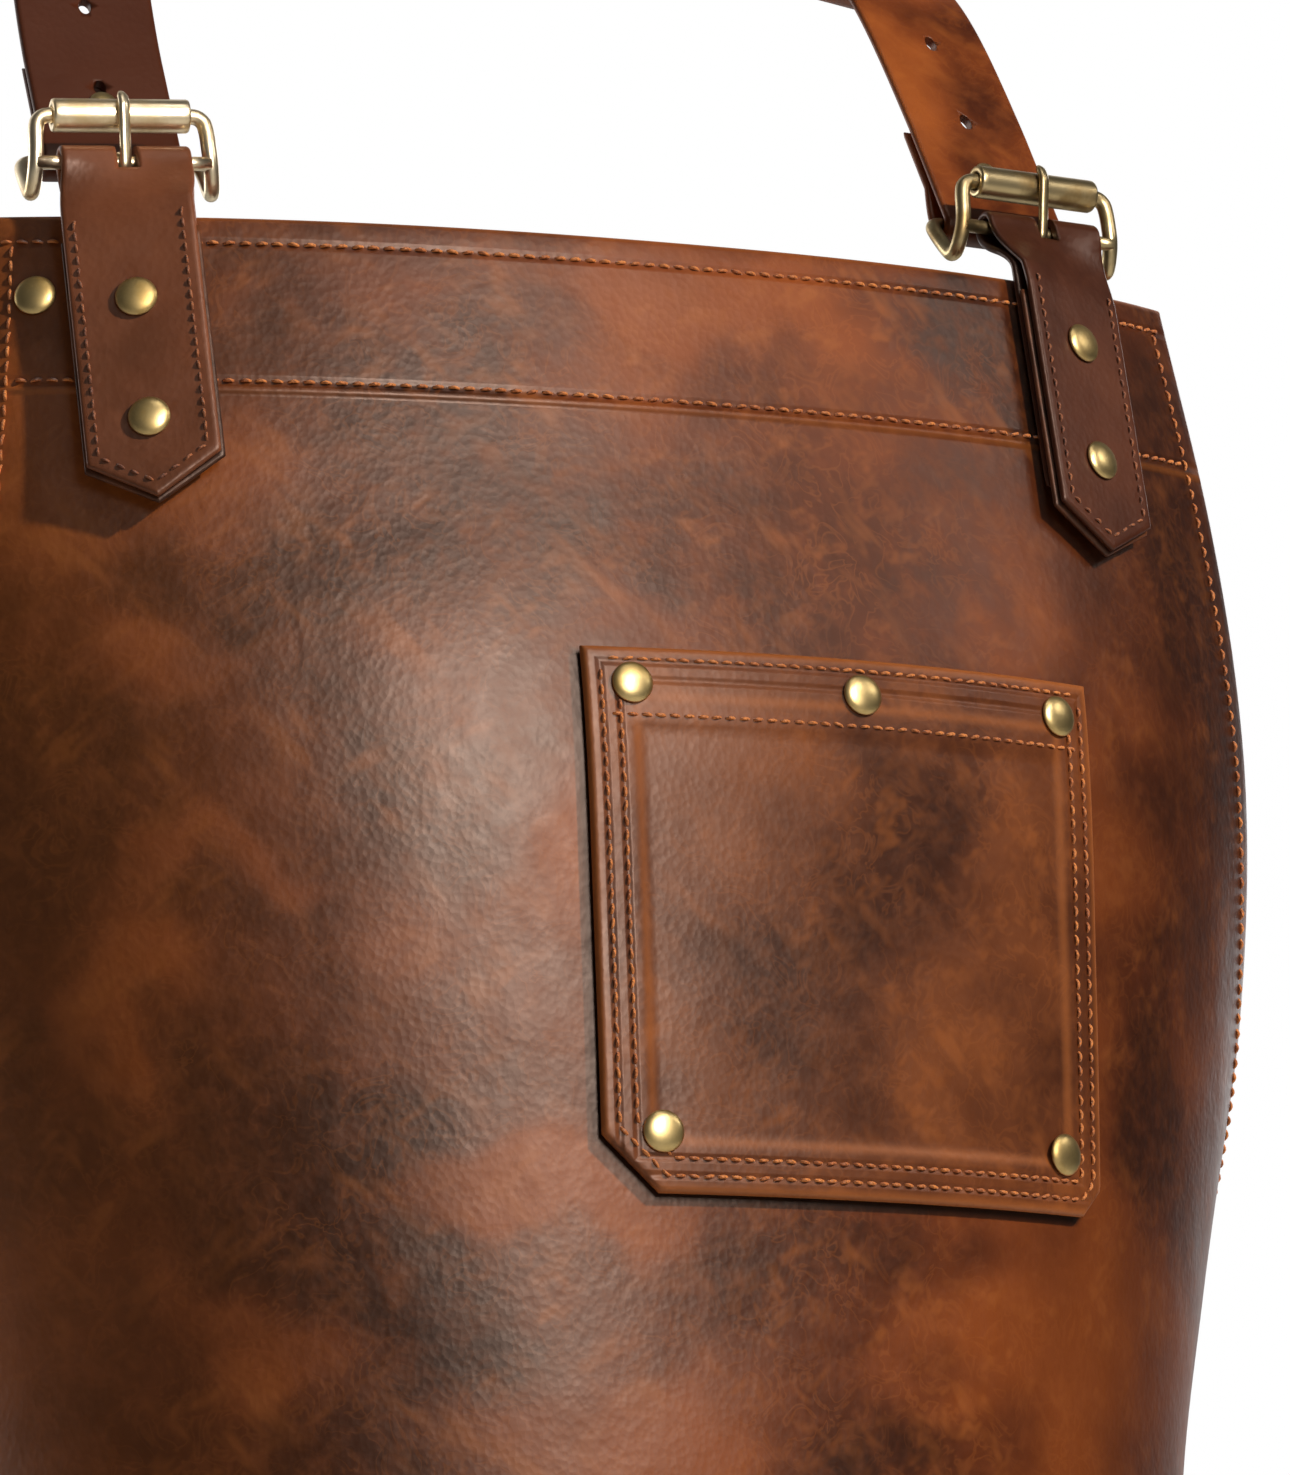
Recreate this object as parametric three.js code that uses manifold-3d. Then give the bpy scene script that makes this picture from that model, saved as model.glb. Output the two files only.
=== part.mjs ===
// Blacksmith's leather apron, in the form that it has when worn: a bib and skirt cut from one hide, a
// breast pocket, two buckle tabs and a strap that runs from buckle to buckle over the shoulders and round
// the nape. Millimetres. +Z up, the front of the apron faces -Y, and +X is the wearer's left. The origin
// is midway between the two places where the underside of the strap rests on the shoulders.
import * as THREE from "three";
import { mergeVertices } from "three/addons/utils/BufferGeometryUtils.js";
import Module from "manifold-3d";

const wasm = await Module();
wasm.setup();

const deg = THREE.MathUtils.degToRad;
const V = (x, y, z) => new THREE.Vector3(x, y, z);

// Where the bib hangs below and in front of the shoulders, and how far to the wearer's left of their middle
const bibDrop = 106;
const chestForward = 142;
const chestAside = 5.5;

// Panel
const bibLength = 330;
const skirtLength = 530;
const bibHalfWidth = 176;
const skirtHalfWidth = 300;
const hideThickness = 2;
const bellyReach = 54;
const cornerRise = 3;
const topHem = 46;
const sideHem = 14;
const bottomHem = 22;
const hemStep = 0.9;
const hemCornerRadius = 45;
const centreCurl = 0.54;
const foldTurn = 17;
const foldsPerSide = 2.5;

// Pocket
const pocketSide = -37;
const pocketDrop = 112;
const pocketWidth = 147;
const pocketHeight = 136;
const pocketLeather = 1.6;
const pocketRim = 12;
const pocketBand = 19;
const pocketCornerRight = 14;
const pocketCornerLeft = 7;
const pocketBelly = 1.6;
const pocketMouthInset = 12;
const pocketFootRivet = 15;

// Buckle tabs, set by hand, so each has its own place. across: along the hide from its centre. length: from
// the top edge of the bib to the tab's point. upper, lower: its rivets' drops. inset: how far its strap sits
// towards the middle of the chest. firstHole: along the strap.
const tabs = [
  { word: "left", hand: 1, across: 124, length: 80, upper: 20.5, lower: 54.5, inset: 2.5, firstHole: 37 },
  { word: "right", hand: -1, across: -137, length: 82, upper: 27, lower: 60.5, inset: 0, firstHole: 23 },
];
const tabWidth = 33.5;
const tabPoint = 10.5;
const tabLeather = 2;
const tabBacking = 1.6;
const tabLip = 0.8;
const tabTailPast = 9;
const tabFlat = 8;
const tabTwist = 17;

// Buckles: the bars' distances above the top edge of the bib (up) and in front of its face (out)
const rollerUp = 28.5;
const rollerOut = -1;
const middleBarUp = 15.5;
const middleBarOut = -2;
const footUp = 8.5;
const footOut = -8;
const rearBarUp = 23.5;
const rearBarOut = -17;
const barRadius = 1.8;
const frameRadius = 2;
const rollerRadius = 4.3;
const frameTopHalf = 21.6;
const frameFootHalf = 23.2;
const frameCorner = 4;
const prongWidth = 3.4;
const prongThickness = 2.4;
const prongWrap = 48;
const prongEye = 3.7;
const prongTaper = 0.6;

// Strap
const strapWidth = 36;
const strapThickness = 2.4;
const strapTail = 34;
const strapStud = 17.5;
const strapHoleWidth = 3.2;
const strapHoleLength = 5.4;
const strapHolePitch = 30;
const strapHoleCount = 4;
const climbBack = 0.68;
const climbInward = 0.07;
const shoulderHalf = 115.5;
const shoulderRest = 26;
const shoulderSlope = 9;
const napeBack = 82;
const napeUp = 46;
const napeTilt = 17;
const napeEase = 0.55;
const napeSteps = 14;
const riseStartEase = 0.5;
const riseEndEase = 0.33;
const riseSteps = 12;
const tailBend = { low: 0.4, foot: 0.2, behind: 0.6 };

// Rivets
const capRadius = 5.3;
const capHeight = 2.1;
const capRim = 0.5;
const washerRadius = 4.6;
const washerThickness = 0.9;
const shankRadius = 1.5;
const studScale = 0.62;
const cornerRivetInset = 13;
const cornerRivetDrop = 22;
const holeReach = 16;

// Clearances
const layGap = 0.5;
const seatGap = 0.3;
const washerGap = 0.7;

const facets = { roller: 14, tube: 6, rivet: 8, hole: 6 };

const leatherLook = { color: 0x6b3a20, roughness: 0.45, metalness: 0 };
const tabLook = { color: 0x4f2a1c, roughness: 0.4, metalness: 0 };
const strapLook = { color: 0x84451f, roughness: 0.5, metalness: 0 };
const brassLook = { color: 0xb59b63, roughness: 0.28, metalness: 1 };

// Closed mesh to solid and back
function solid(geometry) {
  const bare = geometry.clone();
  bare.deleteAttribute("normal");
  bare.deleteAttribute("uv");
  const merged = mergeVertices(bare, 1e-4);
  return new wasm.Manifold(
    new wasm.Mesh({
      numProp: 3,
      vertProperties: new Float32Array(merged.attributes.position.array),
      triVerts: new Uint32Array(merged.index.array),
    }),
  );
}

function geometryOf(body) {
  const mesh = body.getMesh();
  const geometry = new THREE.BufferGeometry();
  geometry.setAttribute(
    "position",
    new THREE.BufferAttribute(new Float32Array(mesh.vertProperties), 3),
  );
  geometry.setIndex(new THREE.BufferAttribute(mesh.triVerts, 1));
  const faceted = geometry.toNonIndexed();
  faceted.computeVertexNormals();
  return faceted;
}

const without = (geometry, ...cutters) =>
  geometryOf(cutters.reduce((body, c) => body.subtract(solid(c)), solid(geometry)));
const joined = (first, ...more) =>
  geometryOf(more.reduce((body, m) => body.add(solid(m)), solid(first)));

const apron = new THREE.Group();
function addMesh(name, geometry, look, parent = apron) {
  const mesh = new THREE.Mesh(geometry, new THREE.MeshStandardMaterial(look));
  mesh.name = name;
  parent.add(mesh);
  return mesh;
}

// Columns of a table, smoothly interpolated at any value of its first column
function smoothTable(rows) {
  const columns = Object.keys(rows[0]);
  const at = new THREE.CubicInterpolant(
    rows.map((r) => r[columns[0]]),
    rows.flatMap((r) => columns.slice(1).map((c) => r[c])),
    columns.length - 1,
  );
  return (x) => {
    const values = at.evaluate(THREE.MathUtils.clamp(x, 0, rows.at(-1)[columns[0]]));
    return Object.fromEntries(columns.slice(1).map((c, i) => [c, values[i]]));
  };
}

// The worn form. down: 0 at the top of the bib, 1 at the waist, 2 at the hem. out: share of bellyReach that
// the front stands ahead of the bib's top. wrap: degrees that the hide has turned at the skirt's half width.
// wide: 0 where the half width is the bib's, 1 where it is the skirt's. fold: share of foldTurn.
const form = smoothTable([
  { down: 0, out: 0, wrap: 75, wide: 0, fold: 0 },
  { down: 0.18, out: 0.33, wrap: 73, wide: 0.07, fold: 0 },
  { down: 0.36, out: 0.65, wrap: 80, wide: 0.17, fold: 0 },
  { down: 0.58, out: 0.8, wrap: 92, wide: 0.35, fold: 0 },
  { down: 0.79, out: 0.9, wrap: 106, wide: 0.63, fold: 0 },
  { down: 0.94, out: 0.97, wrap: 116, wide: 0.93, fold: 0 },
  { down: 1.04, out: 1, wrap: 118, wide: 1, fold: 0.05 },
  { down: 1.3, out: 1.06, wrap: 108, wide: 1, fold: 0.4 },
  { down: 1.65, out: 1.02, wrap: 97, wide: 1, fold: 0.85 },
  { down: 2, out: 0.95, wrap: 92, wide: 1, fold: 1 },
]);

const apronLength = bibLength + skirtLength;
const levelOf = (drop) =>
  drop < bibLength ? drop / bibLength : 1 + (drop - bibLength) / skirtLength;

function halfWidth(drop) {
  const wide = THREE.MathUtils.clamp(form(levelOf(drop)).wide, 0, 1);
  const half = bibHalfWidth + (skirtHalfWidth - bibHalfWidth) * wide;
  const intoCorner = Math.max(0, drop - (apronLength - hemCornerRadius));
  return half - hemCornerRadius + Math.sqrt(hemCornerRadius ** 2 - intoCorner ** 2);
}

// Direction that the hide has turned to, along a level line, at arc length s from the centre front
function heading(s, level) {
  const share = Math.abs(s) / skirtHalfWidth;
  const curl = centreCurl * share + (1 - centreCurl) * (1 - Math.cos((Math.PI / 2) * share));
  const fold = level.fold * foldTurn * Math.sin(2 * Math.PI * foldsPerSide * share) * share;
  return deg(level.wrap * curl + fold);
}

const ARC_STEPS = 48;

// Point of the outer face, at arc length s from the centre front and drop below the top edge
function skin(s, drop) {
  const level = form(levelOf(drop));
  const step = Math.abs(s) / ARC_STEPS;
  let across = 0;
  let back = 0;
  for (let i = 0; i < ARC_STEPS; i++) {
    const turn = heading((i + 0.5) * step, level);
    across += Math.cos(turn) * step;
    back += Math.sin(turn) * step;
  }
  const rise = cornerRise * (s / bibHalfWidth) ** 2 * Math.max(0, 1 - drop / bibLength) ** 2;
  return V(
    Math.sign(s) * across + chestAside,
    back - level.out * bellyReach - chestForward,
    rise - drop - bibDrop,
  );
}

// Unit vectors along the hide to the wearer's left, up the hide, and out of its face
function axesAt(s, drop) {
  const reach = 0.5;
  const low = Math.max(drop, reach);
  const side = skin(s + reach, low).sub(skin(s - reach, low)).normalize();
  const up = skin(s, low - reach).sub(skin(s, low + reach)).normalize();
  const out = V(0, 0, 0).crossVectors(side, up).normalize();
  return { side: V(0, 0, 0).crossVectors(up, out), up, out };
}

const offSkin = (s, drop, out) => skin(s, drop).addScaledVector(axesAt(s, drop).out, out);

// Closed wall between two grids of points, grid[row][column]
function wall(outer, inner) {
  const rows = outer.length;
  const columns = outer[0].length;
  const positions = [outer, inner].flatMap((g) => g.flat().flatMap((p) => p.toArray()));
  const index = [];
  const id = (side, r, c) => (side * rows + r) * columns + c;
  const quad = (a, b, c, d) => index.push(a, b, c, a, c, d);
  for (let r = 0; r < rows - 1; r++)
    for (let c = 0; c < columns - 1; c++) {
      quad(id(0, r, c), id(0, r + 1, c), id(0, r + 1, c + 1), id(0, r, c + 1));
      quad(id(1, r, c), id(1, r, c + 1), id(1, r + 1, c + 1), id(1, r + 1, c));
    }
  for (let r = 0; r < rows - 1; r++) {
    quad(id(0, r, 0), id(1, r, 0), id(1, r + 1, 0), id(0, r + 1, 0));
    const c = columns - 1;
    quad(id(0, r, c), id(0, r + 1, c), id(1, r + 1, c), id(1, r, c));
  }
  for (let c = 0; c < columns - 1; c++) {
    quad(id(0, 0, c), id(0, 0, c + 1), id(1, 0, c + 1), id(1, 0, c));
    const r = rows - 1;
    quad(id(0, r, c), id(1, r, c), id(1, r, c + 1), id(0, r, c + 1));
  }
  const geometry = new THREE.BufferGeometry();
  geometry.setAttribute("position", new THREE.Float32BufferAttribute(positions, 3));
  geometry.setIndex(index);
  return geometry;
}

const spread = (low, high, count) =>
  Array.from({ length: count + 1 }, (_, i) => low + ((high - low) * i) / count);

// Strip along stations { at, side, half }: its path's points, the direction across it and its half width
function strip(stations, thickness, columns = [-1, 1]) {
  const places = stations.map(({ at, side }, i) => {
    const ahead = stations[Math.min(i + 1, stations.length - 1)].at;
    const along = ahead.clone().sub(stations[Math.max(i - 1, 0)].at).normalize();
    const out = V(0, 0, 0).crossVectors(along, side).normalize();
    const over = V(0, 0, 0).crossVectors(out, along);
    return (across, lift) => at.clone().addScaledVector(over, across).addScaledVector(out, lift);
  });
  const face = (lift) =>
    places.map((place, i) => columns.map((share) => place(share * stations[i].half, lift)));
  return wall(face(thickness / 2), face(-thickness / 2));
}

// Body panel: one hide whose top, side and bottom edges are turned back, so the wall is double there
const hemmed = 2 * hideThickness;

const backOfHide = (s, drop) => {
  const inSideHem = Math.abs(s) > halfWidth(drop) - sideHem - hemStep / 2;
  const inEndHem = drop <= topHem - hemStep || drop > apronLength - bottomHem;
  return inSideHem || inEndHem ? hemmed : hideThickness;
};

function bodyPanel() {
  const cornerTop = apronLength - hemCornerRadius;
  const drops = [
    ...[0, topHem / 2, topHem - hemStep],
    ...spread(topHem, bibLength, 13),
    ...spread(bibLength, cornerTop, 9).slice(1),
    ...[0.4, 0.75, 0.9].map((share) => cornerTop + hemCornerRadius * share),
    ...[apronLength - bottomHem, apronLength - bottomHem + hemStep, apronLength],
  ].sort((a, b) => a - b);
  const grid = drops.map((drop) => {
    const half = halfWidth(drop);
    const middle = half - sideHem - hemStep;
    const outer = [half, half - sideHem];
    return [...outer.map((s) => -s), ...spread(-middle, middle, 20), ...outer.reverse()].map(
      (s) => ({ s, drop }),
    );
  });
  return wall(
    grid.map((row) => row.map(({ s, drop }) => skin(s, drop))),
    grid.map((row) => row.map(({ s, drop }) => offSkin(s, drop, -backOfHide(s, drop)))),
  );
}

// Rivet with its axis on Z: its cap sits on a face at z = 0 and its washer behind a stack of the given grip
function rivetGeometry(grip, scale = 1) {
  const dome = [0, 45].map((angle) => [
    capRadius * scale * Math.cos(deg(angle)),
    seatGap + capRim + (capHeight * scale - capRim) * Math.sin(deg(angle)),
  ]);
  const washerFace = -grip - washerGap;
  const profile = [
    [0, washerFace - washerThickness],
    [washerRadius * scale, washerFace - washerThickness],
    [washerRadius * scale, washerFace],
    [shankRadius, washerFace],
    [shankRadius, seatGap],
    [capRadius * scale, seatGap],
    ...dome,
    [0, seatGap + capHeight * scale],
  ];
  return new THREE.LatheGeometry(
    profile.map(([r, z]) => new THREE.Vector2(r, z)),
    facets.rivet,
  ).rotateX(Math.PI / 2);
}

const shankHole = () =>
  new THREE.CylinderGeometry(
    shankRadius + seatGap,
    shankRadius + seatGap,
    2 * holeReach,
    facets.hole,
  ).rotateX(Math.PI / 2);

// Group whose +Z points out of the face at a place on the hide, and +Y up the hide
function placeOn(s, drop, lift) {
  const { side, up, out } = axesAt(s, drop);
  const place = new THREE.Group();
  const frame = new THREE.Matrix4().makeBasis(side, up, out);
  place.position.copy(offSkin(s, drop, lift));
  place.quaternion.setFromRotationMatrix(frame);
  place.updateMatrixWorld(true);
  apron.add(place);
  return place;
}

const bodyHoles = [];
const pocketHoles = [];

// Breast pocket: a patch whose sides, foot and mouth are turned under, so its rim is double
const pocketStand = layGap + 2 * pocketLeather;

function pocketBulge(across, down) {
  const a = THREE.MathUtils.clamp(across / pocketWidth, 0, 1);
  const b = THREE.MathUtils.clamp(down / pocketHeight, 0, 1);
  return pocketBelly * Math.sin(Math.PI * a) * (1 - b) ** 0.7;
}

function pocketPatch() {
  const inRim = pocketRim + hemStep;
  const across = [
    ...[0, pocketRim],
    ...spread(inRim, pocketWidth - inRim, 7),
    ...[pocketWidth - pocketRim, pocketWidth],
  ];
  const down = [
    ...[0, pocketBand / 2, pocketBand],
    ...spread(pocketBand + hemStep, pocketHeight - inRim, 6),
    ...[pocketHeight - pocketRim, pocketHeight],
  ];
  const inMiddle = (x, y) =>
    x >= inRim && x <= pocketWidth - inRim && y > pocketBand && y <= pocketHeight - inRim;
  const at = (x, y, lift) => offSkin(pocketSide + x, pocketDrop + y, lift + pocketBulge(x, y));
  const grid = (lift) => down.map((y) => across.map((x) => at(x, y, lift(x, y))));
  const patch = wall(
    grid(() => pocketStand),
    grid((x, y) => (inMiddle(x, y) ? layGap + pocketLeather : layGap)),
  );
  const corners = [
    { s: pocketSide, cut: pocketCornerRight, turn: -45 },
    { s: pocketSide + pocketWidth, cut: pocketCornerLeft, turn: 45 },
  ].map(({ s, cut, turn }) => {
    const { side, up, out } = axesAt(s, pocketDrop + pocketHeight);
    const place = new THREE.Matrix4().makeBasis(side, up, out);
    place.setPosition(skin(s, pocketDrop + pocketHeight));
    return new THREE.BoxGeometry(4 * cut, Math.SQRT2 * cut, 2 * holeReach)
      .rotateZ(deg(turn))
      .applyMatrix4(place);
  });
  return without(patch, ...corners, ...pocketHoles);
}

// The middle rivet of the mouth holds only the turned band, so that a hand can pass behind it
const footDrop = pocketHeight - pocketFootRivet;
const pocketRivets = [
  { name: "mouth_right", across: pocketMouthInset, down: pocketBand / 2, through: true },
  { name: "mouth_middle", across: pocketWidth / 2, down: pocketBand / 2, through: false },
  { name: "mouth_left", across: pocketWidth - pocketMouthInset, down: pocketBand / 2, through: true },
  { name: "foot_right", across: pocketFootRivet, down: footDrop, through: true },
  { name: "foot_left", across: pocketWidth - pocketFootRivet, down: footDrop, through: true },
];

function addPocketRivet({ name, across, down, through }) {
  const s = pocketSide + across;
  const drop = pocketDrop + down;
  const face = pocketStand + pocketBulge(across, down);
  const place = placeOn(s, drop, face);
  const grip = through ? face + backOfHide(s, drop) : 2 * pocketLeather;
  addMesh("rivet_pocket_" + name, rivetGeometry(grip), brassLook, place);
  const hole = shankHole().applyMatrix4(place.matrixWorld);
  pocketHoles.push(hole);
  if (through) bodyHoles.push(hole);
}

// Buckle tabs: local X across, Y up from the top edge of the bib, Z out of its face.
// The front leaf runs up from its point, over the middle bar and down the face of the bib behind itself.
const tailOut = layGap + tabLeather / 2;
const backingOut = tailOut + tabLeather / 2 + seatGap + tabBacking / 2;
const leafOut = backingOut + tabBacking / 2 + seatGap + tabLeather / 2;
const leafFace = leafOut + tabLeather / 2;
const foldRadius = barRadius + 2 * seatGap + tabLeather / 2;

// The buckle hangs turned towards the front, and above the edge of the bib the leaves twist to meet it
const buckleTurn = (hand) => -hand * deg(tabTwist);

function turned(point, angle) {
  const axis = V(0, 0, middleBarOut);
  return point.sub(axis).applyAxisAngle(V(0, 1, 0), angle).add(axis);
}

function twistedStation(up, out, half, hand) {
  const angle = buckleTurn(hand) * THREE.MathUtils.smoothstep(up, 0, middleBarUp);
  const side = V(-1, 0, 0).applyAxisAngle(V(0, 1, 0), angle);
  return { at: turned(V(0, up, out), angle), side, half };
}

const pointRows = (tab, lip) => {
  const tip = -tab.length - lip;
  const half = tabWidth / 2 + lip;
  return [
    { up: tip, half: 0.04 * half },
    { up: tip + 0.1 * tabPoint, half: 0.15 * half },
    { up: tip + 0.94 * tabPoint, half: 0.96 * half },
    { up: tip + 1.1 * tabPoint, half },
  ];
};

const tabHoles = (tab) =>
  [tab.upper, tab.lower].map((drop) => shankHole().translate(0, -drop, 0));

function tabLeaf(tab) {
  const half = tabWidth / 2;
  const foldFront = middleBarOut + foldRadius;
  const foldRear = middleBarOut - foldRadius;
  const front = new THREE.CubicBezierCurve(
    new THREE.Vector2(leafOut, -tabFlat),
    new THREE.Vector2(leafOut, 0),
    new THREE.Vector2((leafOut + foldFront) / 2, middleBarUp / 3),
    new THREE.Vector2(foldFront, middleBarUp),
  ).getPoints(7);
  const over = spread(0, Math.PI, 8)
    .slice(1, -1)
    .map((a) => ({
      x: middleBarOut + foldRadius * Math.cos(a),
      y: middleBarUp + foldRadius * Math.sin(a),
    }));
  const rear = new THREE.CubicBezierCurve(
    new THREE.Vector2(foldRear, middleBarUp),
    new THREE.Vector2(foldRear, middleBarUp / 2),
    new THREE.Vector2(tailOut, middleBarUp / 2),
    new THREE.Vector2(tailOut, 0),
  ).getPoints(6);
  const stations = [
    ...pointRows(tab, 0).map((row) => twistedStation(row.up, leafOut, row.half, tab.hand)),
    ...[...front, ...over, ...rear].map((p) => twistedStation(p.y, p.x, half, tab.hand)),
    twistedStation(-tab.lower - tabTailPast, tailOut, half, tab.hand),
  ];
  const slotFoot = middleBarUp - prongEye - seatGap;
  const slotTop = middleBarUp + 2 * foldRadius;
  const slot = new THREE.BoxGeometry(prongWidth + 2, slotTop - slotFoot, 4 * foldRadius)
    .translate(0, (slotTop + slotFoot) / 2, 0)
    .rotateY(buckleTurn(tab.hand))
    .translate(0, 0, middleBarOut);
  return without(strip(stations, tabLeather), slot, ...tabHoles(tab));
}

function tabBackingPlate(tab) {
  const rows = [...pointRows(tab, tabLip), { up: -tabFlat, half: tabWidth / 2 + tabLip }];
  const stations = rows.map(({ up, half }) => twistedStation(up, backingOut, half, tab.hand));
  return without(strip(stations, tabBacking), ...tabHoles(tab));
}

// Buckle frame: one round wire from the roller's bar down both sides to a foot and back up to the bar behind
// that the strap hangs on, with the middle bar across it that the tab hangs on
function buckleFrame() {
  const halfAtMiddle = (frameTopHalf + frameFootHalf) / 2;
  const side = (hand) => [
    V(hand * frameTopHalf, rollerUp, rollerOut),
    V(hand * halfAtMiddle, middleBarUp, middleBarOut),
    V(hand * frameFootHalf, footUp, footOut),
    V(hand * frameFootHalf, rearBarUp, rearBarOut),
  ];
  const corners = [...side(1), ...side(-1).reverse()];
  const points = corners.flatMap((corner, i) => {
    const before = corners.at(i - 1).clone().sub(corner).normalize();
    const after = corners[(i + 1) % corners.length].clone().sub(corner).normalize();
    return new THREE.QuadraticBezierCurve3(
      corner.clone().addScaledVector(before, frameCorner),
      corner,
      corner.clone().addScaledVector(after, frameCorner),
    ).getPoints(3);
  });
  const loop = new THREE.CatmullRomCurve3(points, true, "centripetal");
  const ring = new THREE.TubeGeometry(loop, 48, frameRadius, facets.tube, true);
  const bar = new THREE.CylinderGeometry(barRadius, barRadius, 2 * halfAtMiddle, facets.hole)
    .rotateZ(Math.PI / 2)
    .translate(0, middleBarUp, middleBarOut);
  return joined(ring, bar);
}

function buckleRoller() {
  const bore = frameRadius + 1.4 * seatGap;
  const half = frameTopHalf - frameCorner;
  const profile = [
    [bore, -half],
    [rollerRadius, -half],
    [rollerRadius, half],
    [bore, half],
    [bore, -half],
  ];
  return new THREE.LatheGeometry(
    profile.map(([r, y]) => new THREE.Vector2(r, y)),
    facets.roller,
  )
    .rotateZ(Math.PI / 2)
    .translate(0, rollerUp, rollerOut);
}

// Prong: an eye round the middle bar and an arm that leans on the front of the roller
function buckleProng() {
  const bar = V(0, middleBarUp, middleBarOut);
  const roller = V(0, rollerUp, rollerOut);
  const towards = roller.clone().sub(bar).normalize();
  const ahead = V(0, -towards.z, towards.y);
  const rest = rollerRadius + seatGap + prongThickness / 2;
  const onRoller = spread(0, deg(prongWrap), 5).map((a) =>
    roller
      .clone()
      .addScaledVector(ahead, rest * Math.cos(a))
      .addScaledVector(towards, rest * Math.sin(a)),
  );
  const root = bar.clone().addScaledVector(ahead, prongEye - prongThickness / 2);
  const stations = [root, ...onRoller].map((at, i) => ({
    at,
    side: V(-1, 0, 0),
    half: (prongWidth / 2) * (i > onRoller.length - 1 ? prongTaper : 1),
  }));
  const rod = (radius, length) =>
    new THREE.CylinderGeometry(radius, radius, length, facets.roller)
      .rotateZ(Math.PI / 2)
      .translate(0, bar.y, bar.z);
  const arm = strip(stations, prongThickness);
  return without(joined(arm, rod(prongEye, prongWidth)), rod(barRadius + 1.4 * seatGap, 2 * prongWidth));
}

function addTab(tab) {
  const { word, hand } = tab;
  const place = placeOn(tab.across, 0, 0);
  const buckle = new THREE.Group();
  buckle.position.set(0, 0, middleBarOut);
  buckle.rotation.y = buckleTurn(hand);
  place.add(buckle);
  buckle.updateMatrixWorld(true);
  const onBar = (geometry) => geometry.translate(0, 0, -middleBarOut);
  addMesh("tab_" + word, tabLeaf(tab), tabLook, place);
  addMesh("tab_backing_" + word, tabBackingPlate(tab), tabLook, place);
  addMesh("buckle_frame_" + word, onBar(buckleFrame()), brassLook, buckle);
  addMesh("buckle_roller_" + word, onBar(buckleRoller()), brassLook, buckle);
  addMesh("buckle_prong_" + word, onBar(buckleProng()), brassLook, buckle);
  [tab.upper, tab.lower].forEach((drop, i) => {
    const back = offSkin(tab.across, drop, -backOfHide(tab.across, drop));
    const rivet = rivetGeometry(leafFace - place.worldToLocal(back).z);
    addMesh(`rivet_tab_${word}_${i + 1}`, rivet.translate(0, -drop, leafFace), brassLook, place);
    bodyHoles.push(shankHole().translate(0, -drop, 0).applyMatrix4(place.matrixWorld));
  });
  return buckle;
}

// Frame at a distance along a line of stations: X across, Y along it
function frameAlong(stations, distance) {
  let i = 0;
  let left = distance;
  let step = stations[1].at.distanceTo(stations[0].at);
  while (left > step) {
    left -= step;
    i++;
    step = stations[i + 1].at.distanceTo(stations[i].at);
  }
  const along = stations[i + 1].at.clone().sub(stations[i].at).normalize();
  const out = V(0, 0, 0).crossVectors(stations[i].side, along).normalize();
  const frame = new THREE.Matrix4().makeBasis(V(0, 0, 0).crossVectors(along, out), along, out);
  return frame.setPosition(stations[i].at.clone().addScaledVector(along, left));
}

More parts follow.
